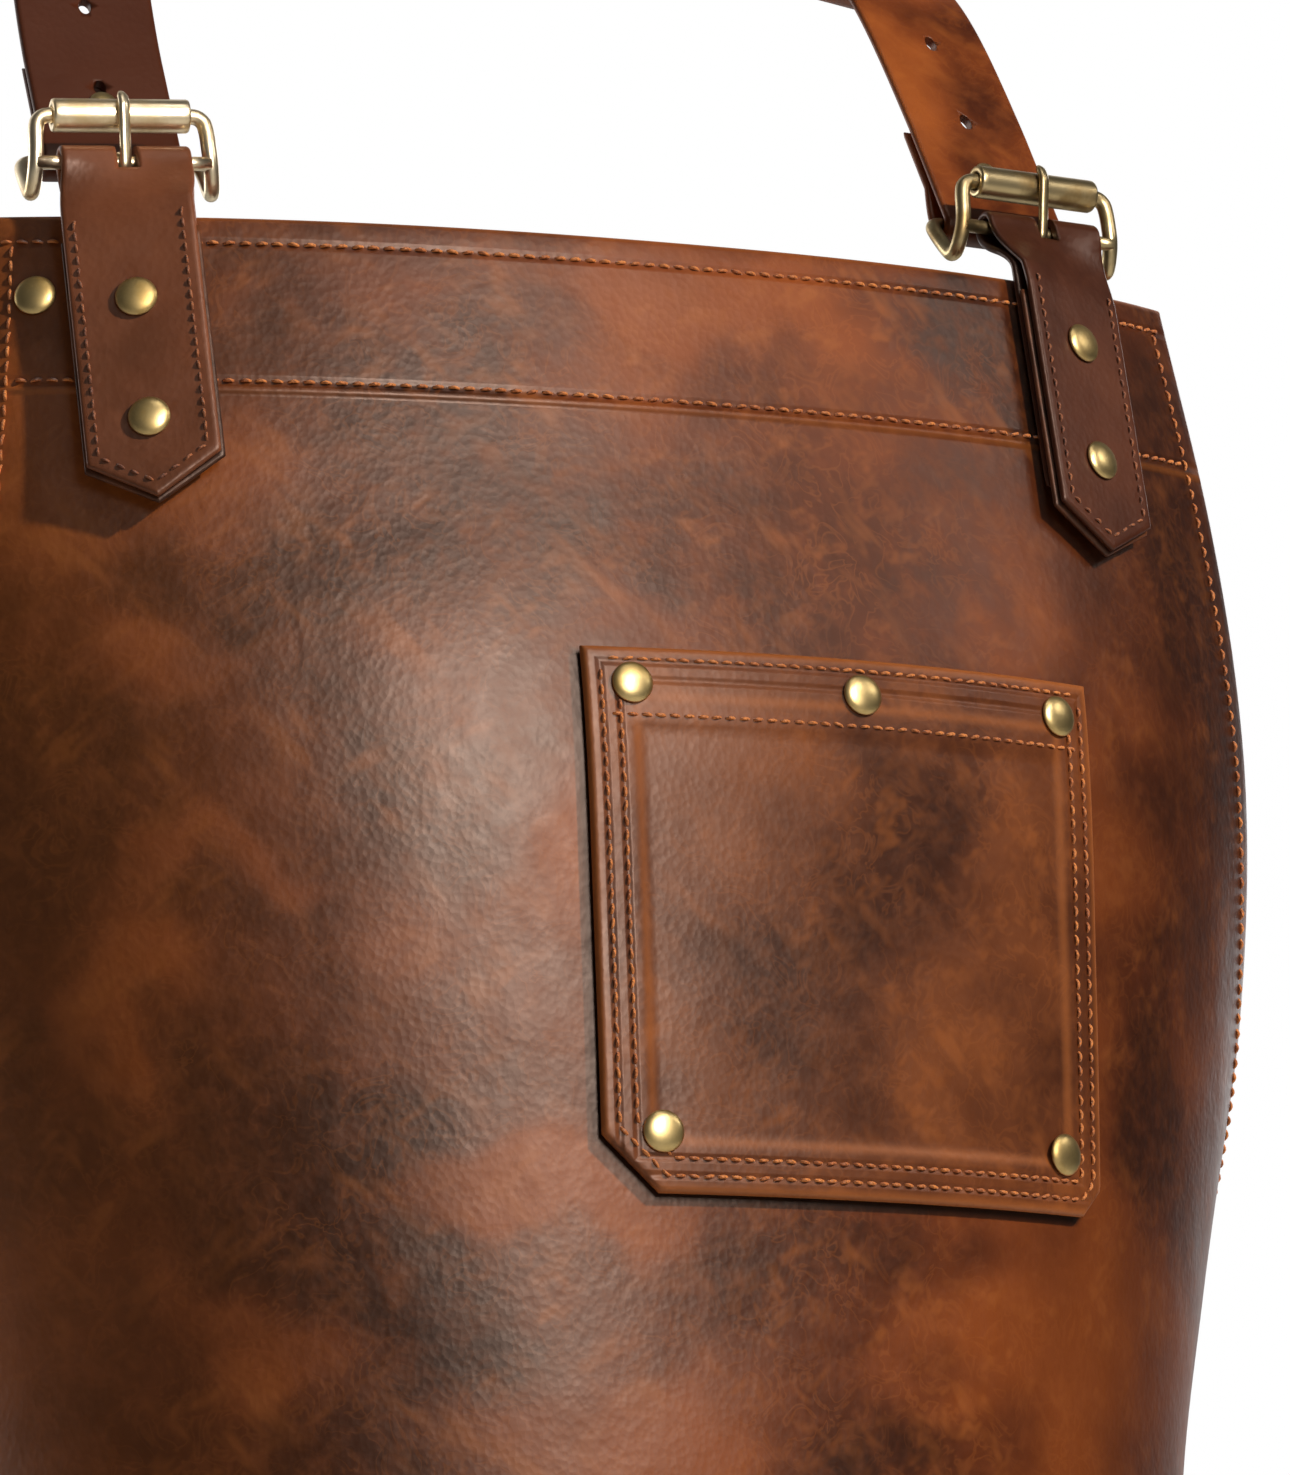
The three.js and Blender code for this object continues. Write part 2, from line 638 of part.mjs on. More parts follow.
// Half of the strap: its holes, and its stations from the turned-back end behind the buckle to the nape
function strapHalf({ word, hand, inset, firstHole }, buckle) {
  const half = strapWidth / 2;
  const loopRadius = frameRadius + seatGap + strapThickness / 2;
  const local = (x, y, z) => V(x, y, z - middleBarOut).applyMatrix4(buckle.matrixWorld);
  const axis = V(1, 0, 0).transformDirection(buckle.matrixWorld);
  const bar = local(-hand * inset, rearBarUp, rearBarOut);

  // Directions where the strap leaves the bar: up along it, and out of its face
  const climb = V(-hand * climbInward, climbBack, 1);
  climb.addScaledVector(axis, -climb.dot(axis)).normalize();
  const face = V(0, 0, 0).crossVectors(axis, climb).normalize();
  const across = axis.clone().negate();
  const by = (up, out) => bar.clone().addScaledVector(climb, up).addScaledVector(face, out);

  const layers = strapThickness + 2 * seatGap;
  const tail = [
    [strapTail, loopRadius - layers],
    [tailBend.low * strapTail, loopRadius - layers],
    [tailBend.foot * strapTail, -tailBend.behind * loopRadius],
  ].map(([up, out]) => ({ at: by(up, out), side: across, half }));
  const round = spread(Math.PI, 0, 6).map((a) => ({
    at: by(-loopRadius * Math.sin(a), loopRadius * Math.cos(a)),
    side: across,
    half,
  }));

  // Up the chest to the shoulder
  const crestSide = V(-Math.cos(deg(shoulderSlope)), 0, hand * Math.sin(deg(shoulderSlope)));
  const crest = (y) => V(hand * shoulderHalf, y, strapThickness / 2);
  const start = by(strapTail, loopRadius);
  const reach = start.distanceTo(crest(-shoulderRest / 2));
  const rise = new THREE.CubicBezierCurve3(
    start,
    start.clone().addScaledVector(V(-hand * climbInward, climbBack, 1).normalize(), riseStartEase * reach),
    crest(-shoulderRest / 2 - riseEndEase * reach),
    crest(-shoulderRest / 2),
  )
    .getPoints(riseSteps)
    .map((at, i) => ({ at, side: across.clone().lerp(crestSide, i / riseSteps).normalize(), half }));

  // Over the shoulder and round the nape, where the strap's inner edge has turned upwards
  const nape = V(0, napeBack, napeUp);
  const overNape = new THREE.CubicBezierCurve3(
    crest(shoulderRest / 2),
    crest(shoulderRest / 2 + napeEase * napeBack).setZ(napeEase * napeUp),
    nape.clone().setX(hand * napeEase * shoulderHalf),
    nape,
  )
    .getPoints(napeSteps)
    .map((at, i) => {
      const turn = deg(THREE.MathUtils.lerp(shoulderSlope, 90, i / napeSteps));
      const lean = -hand * Math.tan(deg(napeTilt)) * (i / napeSteps);
      return { at, side: V(-Math.cos(turn), lean, hand * Math.sin(turn)).normalize(), half };
    });

  const front = [{ at: by(0, loopRadius), side: across }, ...rise];
  const holes = Array.from({ length: strapHoleCount }, (_, i) =>
    new THREE.CylinderGeometry(strapHoleWidth / 2, strapHoleWidth / 2, 2 * holeReach, facets.hole)
      .rotateX(Math.PI / 2)
      .scale(1, strapHoleLength / strapHoleWidth, 1)
      .applyMatrix4(frameAlong(front, firstHole + i * strapHolePitch)),
  );

  // The stud that holds the turned-back end
  const stud = new THREE.Group();
  stud.position.copy(by(strapStud, loopRadius + strapThickness / 2));
  stud.quaternion.setFromRotationMatrix(new THREE.Matrix4().makeBasis(axis, climb, face));
  stud.updateMatrixWorld(true);
  apron.add(stud);
  addMesh("rivet_strap_" + word, rivetGeometry(layers + strapThickness, studScale), brassLook, stud);
  holes.push(shankHole().applyMatrix4(stud.matrixWorld));
  return { stations: [...tail, ...round, ...rise, ...overNape], holes };
}

const halves = tabs.map((tab) => strapHalf(tab, addTab(tab)));
const farHalf = halves[1].stations
  .slice(0, -1)
  .reverse()
  .map(({ at, side, half }) => ({ at, side: side.clone().negate(), half }));
const strapBody = strip([...halves[0].stations, ...farHalf], strapThickness, [-1, 0, 1]);
addMesh("neck_strap", without(strapBody, ...halves.flatMap(({ holes }) => holes)), strapLook);

pocketRivets.forEach(addPocketRivet);
addMesh("pocket", pocketPatch(), leatherLook);

const cornerRivet = placeOn(cornerRivetInset - bibHalfWidth, cornerRivetDrop, 0);
addMesh("rivet_corner", rivetGeometry(hemmed), brassLook, cornerRivet);
bodyHoles.push(shankHole().applyMatrix4(cornerRivet.matrixWorld));
addMesh("apron_body", without(bodyPanel(), ...bodyHoles), leatherLook);

export default apron;
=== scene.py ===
"""Looks of the leather blacksmith's apron: finer leather, thread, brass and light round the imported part."""

import math
from functools import partialmethod

import bpy
import numpy as np
from mathutils import Matrix, Vector


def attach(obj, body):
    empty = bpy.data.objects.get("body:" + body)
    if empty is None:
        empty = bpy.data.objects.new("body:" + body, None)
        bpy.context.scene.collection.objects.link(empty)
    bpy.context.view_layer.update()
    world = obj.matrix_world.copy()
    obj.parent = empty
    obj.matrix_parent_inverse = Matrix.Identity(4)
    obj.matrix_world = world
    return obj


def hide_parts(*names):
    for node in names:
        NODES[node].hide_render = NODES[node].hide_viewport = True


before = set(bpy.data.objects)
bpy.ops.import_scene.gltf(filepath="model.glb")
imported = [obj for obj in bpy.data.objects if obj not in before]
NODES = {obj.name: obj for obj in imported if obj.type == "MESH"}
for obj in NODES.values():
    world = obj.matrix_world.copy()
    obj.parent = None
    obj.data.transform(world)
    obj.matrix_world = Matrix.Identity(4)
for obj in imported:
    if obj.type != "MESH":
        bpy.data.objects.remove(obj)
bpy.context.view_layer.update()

# The part's sizes, in millimetres
BIB_DROP = 106
CHEST_FORWARD = 142
CHEST_ASIDE = 5.5
BIB_LENGTH = 330
SKIRT_LENGTH = 530
BIB_HALF = 176
SKIRT_HALF = 300
HIDE = 2
BELLY_REACH = 54
CORNER_RISE = 3
TOP_HEM = 46
SIDE_HEM = 14
BOTTOM_HEM = 22
HEM_CORNER = 45
HEM_STEP = 1.5
HIDE_RIM = np.array([0, 0.15, 0.5, 1.1, 2.0])
HIDE_RIM_END = 4.5
HIDE_ROWS = 268
HIDE_COLUMNS = 129
UPPER_ROW = 7.5
LOWER_ROW = 44.3
SIDE_ROW = 9.5
CENTRE_CURL = 0.54
FOLD_TURN = 17
FOLDS_PER_SIDE = 2.5
APRON_LENGTH = BIB_LENGTH + SKIRT_LENGTH

POCKET = dict(
    side=-37, drop=112, width=147, height=136, leather=1.6, rim=12, band=19, right=14, left=7, belly=1.6,
)
POCKET_RIM = np.array([0, 0.12, 0.45, 1.0, 1.7])
POCKET_RIM_END = 3.2
POCKET_COLUMNS = 92
POCKET_ROWS = (4.2, 8.6)
MOUTH_ROWS = (3.4, POCKET["band"] - 1.6)
POCKET_ROW_TOP = 6
POCKET_STEP = 0.75
LAY_GAP = 0.5
SEAT_GAP = 0.3
POCKET_STAND = LAY_GAP + 2 * POCKET["leather"]

TABS = [
    dict(word="left", hand=1, across=124, length=80, upper=20.5, lower=54.5, inset=2.5, hole=37),
    dict(word="right", hand=-1, across=-137, length=82, upper=27, lower=60.5, inset=0, hole=23),
]
TAB_WIDTH = 33.5
TAB_POINT = 10.5
TAB_LEATHER = 2
TAB_BACKING = 1.6
TAB_LIP = 0.8
TAB_FLAT = 8
TAB_TWIST = 17
TAB_TAIL_PAST = 9
TAB_ROW = 3.2
TAB_ROW_TOP = -3.0
TAB_COLUMN = 1.9

ROLLER_UP, ROLLER_OUT = 28.5, -1
BAR_UP, BAR_OUT = 15.5, -2
FOOT_UP, FOOT_OUT = 8.5, -8
REAR_UP, REAR_OUT = 23.5, -17
BAR_RADIUS = 1.8
FRAME_RADIUS = 2
ROLLER_RADIUS = 4.3
FRAME_TOP_HALF = 21.6
FRAME_FOOT_HALF = 23.2
FRAME_CORNER = 4
PRONG_WIDTH = 3.4
PRONG_THICKNESS = 2.4
PRONG_WRAP = 48
PRONG_EYE = 3.7

STRAP_WIDTH = 36
STRAP_THICKNESS = 2.4
STRAP_TAIL = 34
STRAP_COLUMN = 3.0
CLIMB_BACK = 0.68
CLIMB_INWARD = 0.07
SHOULDER_HALF = 115.5
SHOULDER_REST = 26
SHOULDER_SLOPE = 9
NAPE_BACK = 82
NAPE_UP = 46
NAPE_TILT = 17
NAPE_EASE = 0.55
HOLE_WIDTH, HOLE_LENGTH, HOLE_PITCH, HOLE_COUNT = 3.2, 5.4, 30, 4

CAP_RADIUS = 5.3
CAP_HEIGHT = 2.1
SHANK_RADIUS = 1.5
WASHER_HEIGHT = 0.9

# Share of a sheet's thickness that is left at its very rim
RIM_SHARE = 0.03

MM = 0.001

# The hide's form by level (1 is the waist): down, out, wrap, wide, fold
FORM = np.array([
    [0, 0, 75, 0, 0],
    [0.18, 0.33, 73, 0.07, 0],
    [0.36, 0.65, 80, 0.17, 0],
    [0.58, 0.8, 92, 0.35, 0],
    [0.79, 0.9, 106, 0.63, 0],
    [0.94, 0.97, 116, 0.93, 0],
    [1.04, 1, 118, 1, 0.05],
    [1.3, 1.06, 108, 1, 0.4],
    [1.65, 1.02, 97, 1, 0.85],
    [2, 0.95, 92, 1, 1],
])


# The hide's surface
def form(level):
    x, values = FORM[:, 0], FORM[:, 1:]
    n = len(x)
    t = np.clip(np.asarray(level, float), 0, x[-1])
    i1 = np.clip(np.searchsorted(x, t, side="right"), 1, n - 1)
    i0 = i1 - 1
    before = np.where(i0 > 0, i0 - 1, i1)
    after = np.where(i1 < n - 1, np.minimum(i1 + 1, n - 1), i0)
    t0, t1 = x[i0], x[i1]
    half = (t1 - t0) / 2
    wp = (half / (t0 - x[before]))[..., None]
    wn = (half / (x[after] - t1))[..., None]
    p = ((t - t0) / (t1 - t0))[..., None]
    p2, p3 = p * p, p * p * p
    return (
        (-wp * p3 + 2 * wp * p2 - wp * p) * values[before]
        + ((1 + wp) * p3 + (-1.5 - 2 * wp) * p2 + (-0.5 + wp) * p + 1) * values[i0]
        + ((-1 - wn) * p3 + (1.5 + wn) * p2 + 0.5 * p) * values[i1]
        + (wn * p3 - wn * p2) * values[after]
    )


def level_of(drop):
    return np.where(drop < BIB_LENGTH, drop / BIB_LENGTH, 1 + (drop - BIB_LENGTH) / SKIRT_LENGTH)


def half_width(drop):
    drop = np.asarray(drop, float)
    wide = np.clip(form(level_of(drop))[..., 2], 0, 1)
    half = BIB_HALF + (SKIRT_HALF - BIB_HALF) * wide
    into = np.maximum(0, drop - (APRON_LENGTH - HEM_CORNER))
    return half - HEM_CORNER + np.sqrt(np.maximum(HEM_CORNER**2 - into**2, 0))


def skin(s, drop):
    """Points of the hide, at s from its middle along a level line and drop below the bib's top edge."""
    s, drop = np.broadcast_arrays(np.asarray(s, float), np.asarray(drop, float))
    out, wrap, _, fold = np.moveaxis(form(level_of(drop)), -1, 0)
    steps = 48
    step = np.abs(s) / steps
    across = np.zeros(s.shape)
    back = np.zeros(s.shape)
    for i in range(steps):
        share = (i + 0.5) * step / SKIRT_HALF
        curl = CENTRE_CURL * share + (1 - CENTRE_CURL) * (1 - np.cos(math.pi / 2 * share))
        wave = fold * FOLD_TURN * np.sin(2 * math.pi * FOLDS_PER_SIDE * share)
        turn = np.radians(wrap * curl + wave * share)
        across += np.cos(turn) * step
        back += np.sin(turn) * step
    rise = CORNER_RISE * (s / BIB_HALF) ** 2 * np.maximum(0, 1 - drop / BIB_LENGTH) ** 2
    return np.stack([
        np.sign(s) * across + CHEST_ASIDE,
        back - out * BELLY_REACH - CHEST_FORWARD,
        rise - drop - BIB_DROP,
    ], -1)


def unit(v):
    return v / np.linalg.norm(v, axis=-1, keepdims=True)


def axes_at(s, drop):
    s, drop = np.broadcast_arrays(np.asarray(s, float), np.asarray(drop, float))
    low = np.maximum(drop, 0.5)
    side = unit(skin(s + 0.5, low) - skin(s - 0.5, low))
    up = unit(skin(s, low - 0.5) - skin(s, low + 0.5))
    out = unit(np.cross(side, up))
    return np.cross(up, out), up, out


def posed(x, y, z, at):
    """Matrix with axes x, y and z and its origin at a point."""
    m = np.eye(4)
    m[:3, 0], m[:3, 1], m[:3, 2], m[:3, 3] = x, y, z, at
    return m


def place_on(s, drop):
    return posed(*axes_at(s, drop), skin(s, drop))


def moved(m, points):
    return points @ m[:3, :3].T + m[:3, 3]


# Meshes
def mesh_object(name, points, faces, material, uv=None):
    mesh = bpy.data.meshes.new(name)
    mesh.from_pydata((np.asarray(points) * MM).tolist(), [], [list(map(int, f)) for f in faces])
    mesh.polygons.foreach_set("use_smooth", [True] * len(mesh.polygons))
    if uv is not None:
        layer = mesh.uv_layers.new(name="cut")
        corner = np.empty(len(mesh.loops), dtype=np.int32)
        mesh.loops.foreach_get("vertex_index", corner)
        layer.data.foreach_set("uv", (np.asarray(uv)[corner] * MM).astype(np.float32).ravel())
    mesh.materials.append(material)
    mesh.update()
    obj = bpy.data.objects.new(name, mesh)
    bpy.context.scene.collection.objects.link(obj)
    return obj


def wrapped(ids):
    """A grid of ids with its first column again at the end."""
    return np.concatenate([ids, ids[:, :1]], 1)


def quads(ids, flip=False):
    a, b, c, d = ids[:-1, :-1], ids[1:, :-1], ids[1:, 1:], ids[:-1, 1:]
    order = (a, d, c, b) if flip else (a, b, c, d)
    return np.stack([v.ravel() for v in order], -1)


def sheet_mesh(name, outer, inner, flat, material):
    """Closed wall between two grids [row][column], joined round its rim. flat: the cut's coordinates."""
    rows, cols = outer.shape[:2]
    ids = np.arange(rows * cols).reshape(rows, cols)
    back = ids + rows * cols
    faces = [quads(ids), quads(back, True)]
    rim = np.concatenate([ids[0, :], ids[1:, -1], ids[-1, -2::-1], ids[-2:0:-1, 0]])
    after = np.roll(rim, -1)
    faces.append(np.stack([rim, after, after + rows * cols, rim + rows * cols], -1))
    points = np.concatenate([outer.reshape(-1, 3), inner.reshape(-1, 3)])
    uv = np.concatenate([flat.reshape(-1, 2)] * 2)
    return mesh_object(name, points, np.concatenate(faces), material, uv)


def rounding(distance, reach):
    """Share of the thickness at a distance from the edge, for an edge rounded over reach."""
    x = np.clip(distance / reach, 0, 1)
    return np.sqrt(np.maximum(1 - (1 - x) ** 2, 0)) * (1 - RIM_SHARE) + RIM_SHARE


def shares(half, pitch, edge=(0, 0.12, 0.4, 0.9, 1.6)):
    inner = half - edge[-1]
    count = max(2, int(round(2 * inner / pitch)))
    mid = np.linspace(-inner, inner, count + 1)
    return np.concatenate([[-half + e for e in edge[:-1]], mid, [half - e for e in edge[:-1][::-1]]]) / half


def ease(x, a, b):
    """Smooth step from 0 at a to 1 at b."""
    t = np.clip((x - a) / (b - a), 0, 1)
    return t * t * (3 - 2 * t)


def down_line(points):
    """Distance along a line at each of its points."""
    return np.concatenate([[0], np.cumsum(np.linalg.norm(np.diff(points, axis=0), axis=1))])


def turned_rings(profile, sides):
    """Points of a profile of (radius, z) turned round local Z, and their ids [row][column]."""
    angle = np.linspace(0, 2 * math.pi, sides, endpoint=False)
    profile = np.asarray(profile, float)
    ring = np.stack([
        profile[:, None, 0] * np.cos(angle),
        profile[:, None, 0] * np.sin(angle),
        np.repeat(profile[:, 1:2], sides, 1),
    ], -1)
    ids = np.arange(len(profile) * sides).reshape(len(profile), sides)
    return ring.reshape(-1, 3), wrapped(ids)


def lathe(name, profile, matrix, material, sides=40):
    """Solid turned round local Z: profile of (radius, z) from the axis at the back to the axis in front."""
    points, ids = turned_rings(profile, sides)
    faces = list(quads(ids, True)) + [list(ids[0, :-1][::-1]), list(ids[-1, :-1])]
    return mesh_object(name, moved(matrix, points), faces, material)


def tube(name, centres, radius, matrix, material, sides=14, closed=True, squash=1.0):
    """Round wire along centres. squash widens it sideways."""
    n = len(centres)
    ahead = np.roll(centres, -1, 0) - np.roll(centres, 1, 0) if closed else np.gradient(centres, axis=0)
    ahead = unit(ahead)
    first = unit(np.cross(ahead[0], [0.3, 0.2, 1.0]))
    normals = [first]
    for t in ahead[1:]:
        v = normals[-1] - t * np.dot(normals[-1], t)
        normals.append(v / np.linalg.norm(v))
    normals = np.array(normals)
    if closed:
        other = np.cross(ahead[0], normals[0])
        v = normals[-1] - ahead[0] * np.dot(normals[-1], ahead[0])
        twist = math.atan2(np.dot(v, other), np.dot(v, normals[0]))
        turn = -twist * np.arange(n) / n
        side = np.cross(ahead, normals)
        normals = normals * np.cos(turn)[:, None] + side * np.sin(turn)[:, None]
    side = np.cross(ahead, normals)
    angle = np.linspace(0, 2 * math.pi, sides, endpoint=False)
    radius = np.broadcast_to(radius, (n,))[:, None, None]
    cos, sin = np.cos(angle)[None, :, None], np.sin(angle)[None, :, None]
    ring = centres[:, None] + radius * (normals[:, None] * cos + squash * side[:, None] * sin)
    ids = wrapped(np.arange(n * sides).reshape(n, sides))
    if closed:
        ids = np.concatenate([ids, ids[:1]], 0)
        faces = list(quads(ids, True))
    else:
        faces = list(quads(ids, True)) + [list(ids[0, :-1]), list(ids[-1, :-1][::-1])]
    return mesh_object(name, moved(matrix, ring.reshape(-1, 3)), faces, material)


def smooth_loop(points, closed, per):
    """Centripetal Catmull-Rom through points, per samples in each span."""
    pts = np.asarray(points, float)
    n = len(pts)
    spans = n if closed else n - 1
    made = []
    for i in range(spans):
        if closed:
            p0, p1, p2, p3 = pts[i - 1], pts[i], pts[(i + 1) % n], pts[(i + 2) % n]
        else:
            p1, p2 = pts[i], pts[i + 1]
            p0 = pts[i - 1] if i > 0 else 2 * p1 - p2
            p3 = pts[i + 2] if i + 2 < n else 2 * p2 - p1
        pairs = (p0, p1), (p1, p2), (p2, p3)
        dt0, dt1, dt2 = (max(np.linalg.norm(b - a) ** 0.5, 1e-4) for a, b in pairs)
        t1 = (p1 - p0) / dt0 - (p2 - p0) / (dt0 + dt1) + (p2 - p1) / dt1
        t2 = (p2 - p1) / dt1 - (p3 - p1) / (dt1 + dt2) + (p3 - p2) / dt2
        t1, t2 = t1 * dt1, t2 * dt1
        for u in np.arange(per) / per:
            made.append(
                (2 * u**3 - 3 * u**2 + 1) * p1 + (u**3 - 2 * u**2 + u) * t1
                + (-2 * u**3 + 3 * u**2) * p2 + (u**3 - u**2) * t2
            )
    if not closed:
        made.append(pts[-1])
    return np.array(made)


rng = np.random.default_rng(41)


def stitches(name, runs, material, pitch=4.0, length=2.9, radius=0.5):
    """Separate stitches along runs of (points, normals). Each dips into the leather at its ends."""
    points, faces = [], []
    rings, sides = 5, 6
    bend, height, sunk = 1.35, 0.72, 0.36
    angle = np.linspace(0, 2 * math.pi, sides, endpoint=False)
    cos, sin = np.cos(angle)[None, :, None], np.sin(angle)[None, :, None]
    for line, normal in runs:
        gone = down_line(line)
        count = int(gone[-1] // pitch)
        for k in range(count):
            middle = (k + 0.5) * gone[-1] / count + rng.normal(0, 0.08)
            at = middle + np.linspace(-length / 2, length / 2, rings)
            centre = np.stack([np.interp(at, gone, line[:, j]) for j in range(3)], -1)
            out = unit(np.stack([np.interp(at, gone, normal[:, j]) for j in range(3)], -1))
            along = unit(centre[-1] - centre[0])
            side = unit(np.cross(out, along))
            skew = rng.normal(0, 0.05)
            bow = np.cos(np.linspace(-1, 1, rings) * bend)
            size = radius * (0.55 + 0.45 * bow) * rng.uniform(0.92, 1.08)
            centre = centre + out * ((bow - sunk) * height)[:, None]
            centre = centre + side * (np.linspace(-1, 1, rings) * skew * length)[:, None]
            ring = centre[:, None] + size[:, None, None] * (side[:, None] * cos + out[:, None] * sin)
            base = len(points) * rings * sides
            ids = wrapped(base + np.arange(rings * sides).reshape(rings, sides))
            points.append(ring.reshape(-1, 3))
            faces += [list(f) for f in quads(ids)]
            faces += [list(ids[0, :-1]), list(ids[-1, :-1][::-1])]
    return mesh_object(name, np.concatenate(points), faces, material)


# Materials
def rgb(*levels):
    """Linear colour of an sRGB one given in 0 to 255."""
    shares = (c / 255 for c in levels)
    return tuple(c / 12.92 if c <= 0.04045 else ((c + 0.055) / 1.055) ** 2.4 for c in shares) + (1,)


class Nodes:
    """Node tree of a material or the world, with short calls for its nodes."""

    def __init__(self, holder, output="OutputMaterial", shader="BsdfPrincipled"):
        self.holder = holder
        holder.use_nodes = True
        self.tree = holder.node_tree
        self.tree.nodes.clear()
        self.shader = self.new(shader)
        self.link(self.shader.outputs[0], self.new(output).inputs["Surface"])
        self.coords = self.new("TexCoord").outputs

    def new(self, kind, *inputs, **settings):
        """Node of a kind with its settings, and its first inputs linked or filled in order."""
        node = self.tree.nodes.new("ShaderNode" + kind)
        for key, value in settings.items():
            setattr(node, key, value)
        for socket, value in zip(node.inputs, inputs):
            self.put(socket, value)
        return node

    def link(self, a, b):
        self.tree.links.new(a, b)

    def put(self, socket, value):
        if hasattr(value, "is_output"):
            self.link(value, socket)
        else:
            socket.default_value = value

    def fill(self, node, **values):
        """Link or fill a node's inputs by name, with _ for a space."""
        for name, value in values.items():
            self.put(node.inputs[name.replace("_", " ")], value)
        return node

    def math(self, op, *values):
        return self.new("Math", *values, operation=op).outputs[0]

    add = partialmethod(math, "ADD")
    sub = partialmethod(math, "SUBTRACT")
    mul = partialmethod(math, "MULTIPLY")
    most = partialmethod(math, "MAXIMUM")
    least = partialmethod(math, "MINIMUM")

    def stretched(self, scale, vector=None):
        return self.fill(self.new("Mapping", vector or self.coords["Object"]), Scale=scale).outputs[0]

    def noise(self, scale, detail=3.0, rough=0.5, distortion=0.0, vector=None):
        node = self.new("TexNoise", vector or self.coords["Object"])
        self.fill(node, Scale=scale, Detail=detail, Roughness=rough, Distortion=distortion)
        return node.outputs["Fac"]

    def cells(self, scale, vector):
        return self.fill(self.new("TexVoronoi", vector), Scale=scale).outputs["Distance"]

    def apart(self, vector):
        return self.new("SeparateXYZ", vector).outputs

    def span(self, value, a, b, c=0.0, d=1.0):
        """Smooth step from c at a to d at b."""
        return self.new("MapRange", value, a, b, c, d, interpolation_type="SMOOTHSTEP").outputs[0]

    def mix(self, fac, a, b):
        node = self.new("Mix", fac, data_type="RGBA")
        self.put(node.inputs[6], a)
        self.put(node.inputs[7], b)
        return node.outputs[2]

    def bump(self, height, distance, normal=None, strength=1.0):
        node = self.fill(self.new("Bump"), Distance=distance, Strength=strength, Height=height)
        if normal is not None:
            self.link(normal, node.inputs["Normal"])
        return node.outputs[0]

    def set(self, **values):
        self.fill(self.shader, **values)


SHEEN_TINT = (1.0, 0.74, 0.61, 1.0)


def streaks(n, scale, turn, squeeze, low, high):
    """Soft creases that run one way: noise squeezed along a turned axis."""
    turned = n.fill(n.new("Mapping", n.coords["Object"]), Rotation=turn)
    squeezed = n.stretched((1, 1, squeeze), turned.outputs[0])
    return n.span(n.noise(scale, 2.0, 0.65, 0.0, squeezed), low, high)


def creases(n, scale, width):
    """Thin winding lines where a folded noise passes its middle value."""
    middle = n.math("ABSOLUTE", n.sub(n.noise(scale, 2.0, 0.7, 1.2), 0.5))
    return n.span(middle, 0.0, width, 1.0, 0.0)


def leather(name, colours, blotch, vein, shine, relief=1.0, rows=None, wear_and_shade=None, spots=None):
    """Waxed pull-up leather of four colours (dark, body, warm, pale).

    It has soft dark blotches, warmer patches and fine pale creases. rows adds relief in millimetres,
    the function given for the colour changes it with wear and, on some pieces, with painted light and shade,
    and spots moves the patches.
    """
    dark, body, warm, pale = (rgb(*c) for c in colours)
    n = Nodes(bpy.data.materials.new(name))
    big = n.noise(blotch, 2.0, 0.45)
    mid = n.noise(blotch * 2.6, 1.0, 0.5)
    small = n.noise(150, 2.0, 0.65)
    patch = n.add(n.mul(big, 0.72), n.mul(mid, 0.28))
    if spots:
        patch = n.add(n.math("MULTIPLY_ADD", n.sub(patch, 0.5), 0.8, 0.5), spots(n))
    colour = n.mix(n.span(patch, 0.35, 0.55), dark, body)
    colour = n.mix(n.span(patch, 0.48, 0.66), colour, warm)
    colour = n.mix(n.mul(n.span(small, 0.4, 0.75), 0.25), colour, warm)
    web = creases(n, 95, 0.05)
    rising = streaks(n, 120, (0.5, 0.7, 0.2), 0.34, 0.52, 0.74)
    lines = n.most(rising, streaks(n, 140, (-0.6, -0.8, 0.4), 0.3, 0.52, 0.74))
    web = n.most(n.mul(web, 0.35), n.mul(lines, 0.75))
    amount = n.mul(n.mul(web, n.span(mid, 0.3, 0.65, 0.25, 1.0)), vein)
    colour = n.mix(amount, colour, pale)
    rough = n.mul(n.sub(small, 0.5), 0.16)
    rough = n.add(n.span(patch, 0.36, 0.64, shine, shine + 0.06), rough)
    grain = n.cells(600, n.stretched((1, 1, 0.86)))
    height = n.math("MULTIPLY_ADD", big, 1.6 * relief, n.mul(grain, 0.045))
    height = n.math("MULTIPLY_ADD", n.noise(34, 1.0), 0.45 * relief, height)
    height = n.math("MULTIPLY_ADD", n.noise(260, 1.0, 0.6), 0.11 * relief, height)
    if rows:
        height = n.add(height, rows(n))
    # Wear, and on some pieces painted light and shade, put into the colour.
    if wear_and_shade:
        colour = wear_and_shade(n, colour, dark, pale)
    n.set(Base_Color=colour, Roughness=rough, Normal=n.bump(height, MM), IOR=1.46)
    n.set(Specular_Tint=SHEEN_TINT)
    return n.holder


def cut_axes(n):
    """A piece's own flat coordinates in metres, across and down."""
    across, down, _ = n.apart(n.new("UVMap", uv_map="cut").outputs[0])
    return across, down


def row_groove(n, value, centre, width):
    """1 at centre, down to 0 at width to either side of it."""
    return n.span(n.math("ABSOLUTE", n.sub(value, centre)), 0.0, width, 1.0, 0.0)


def hide_rows(n):
    """Relief of the bib's two stitched rows and of the turned hem's edge, in millimetres."""
    _, drop = cut_axes(n)
    rows = [row_groove(n, drop, row * MM, 0.0018) for row in (UPPER_ROW, LOWER_ROW)]
    rows = n.most(*rows)
    step = n.span(drop, (TOP_HEM - 0.5) * MM, (TOP_HEM + 1.8) * MM)
    step = n.math("MULTIPLY_ADD", step, -0.55, n.mul(rows, -0.35))
    return n.math("MULTIPLY_ADD", row_groove(n, drop, (TOP_HEM + 0.8) * MM, 0.0016), 0.4, step)


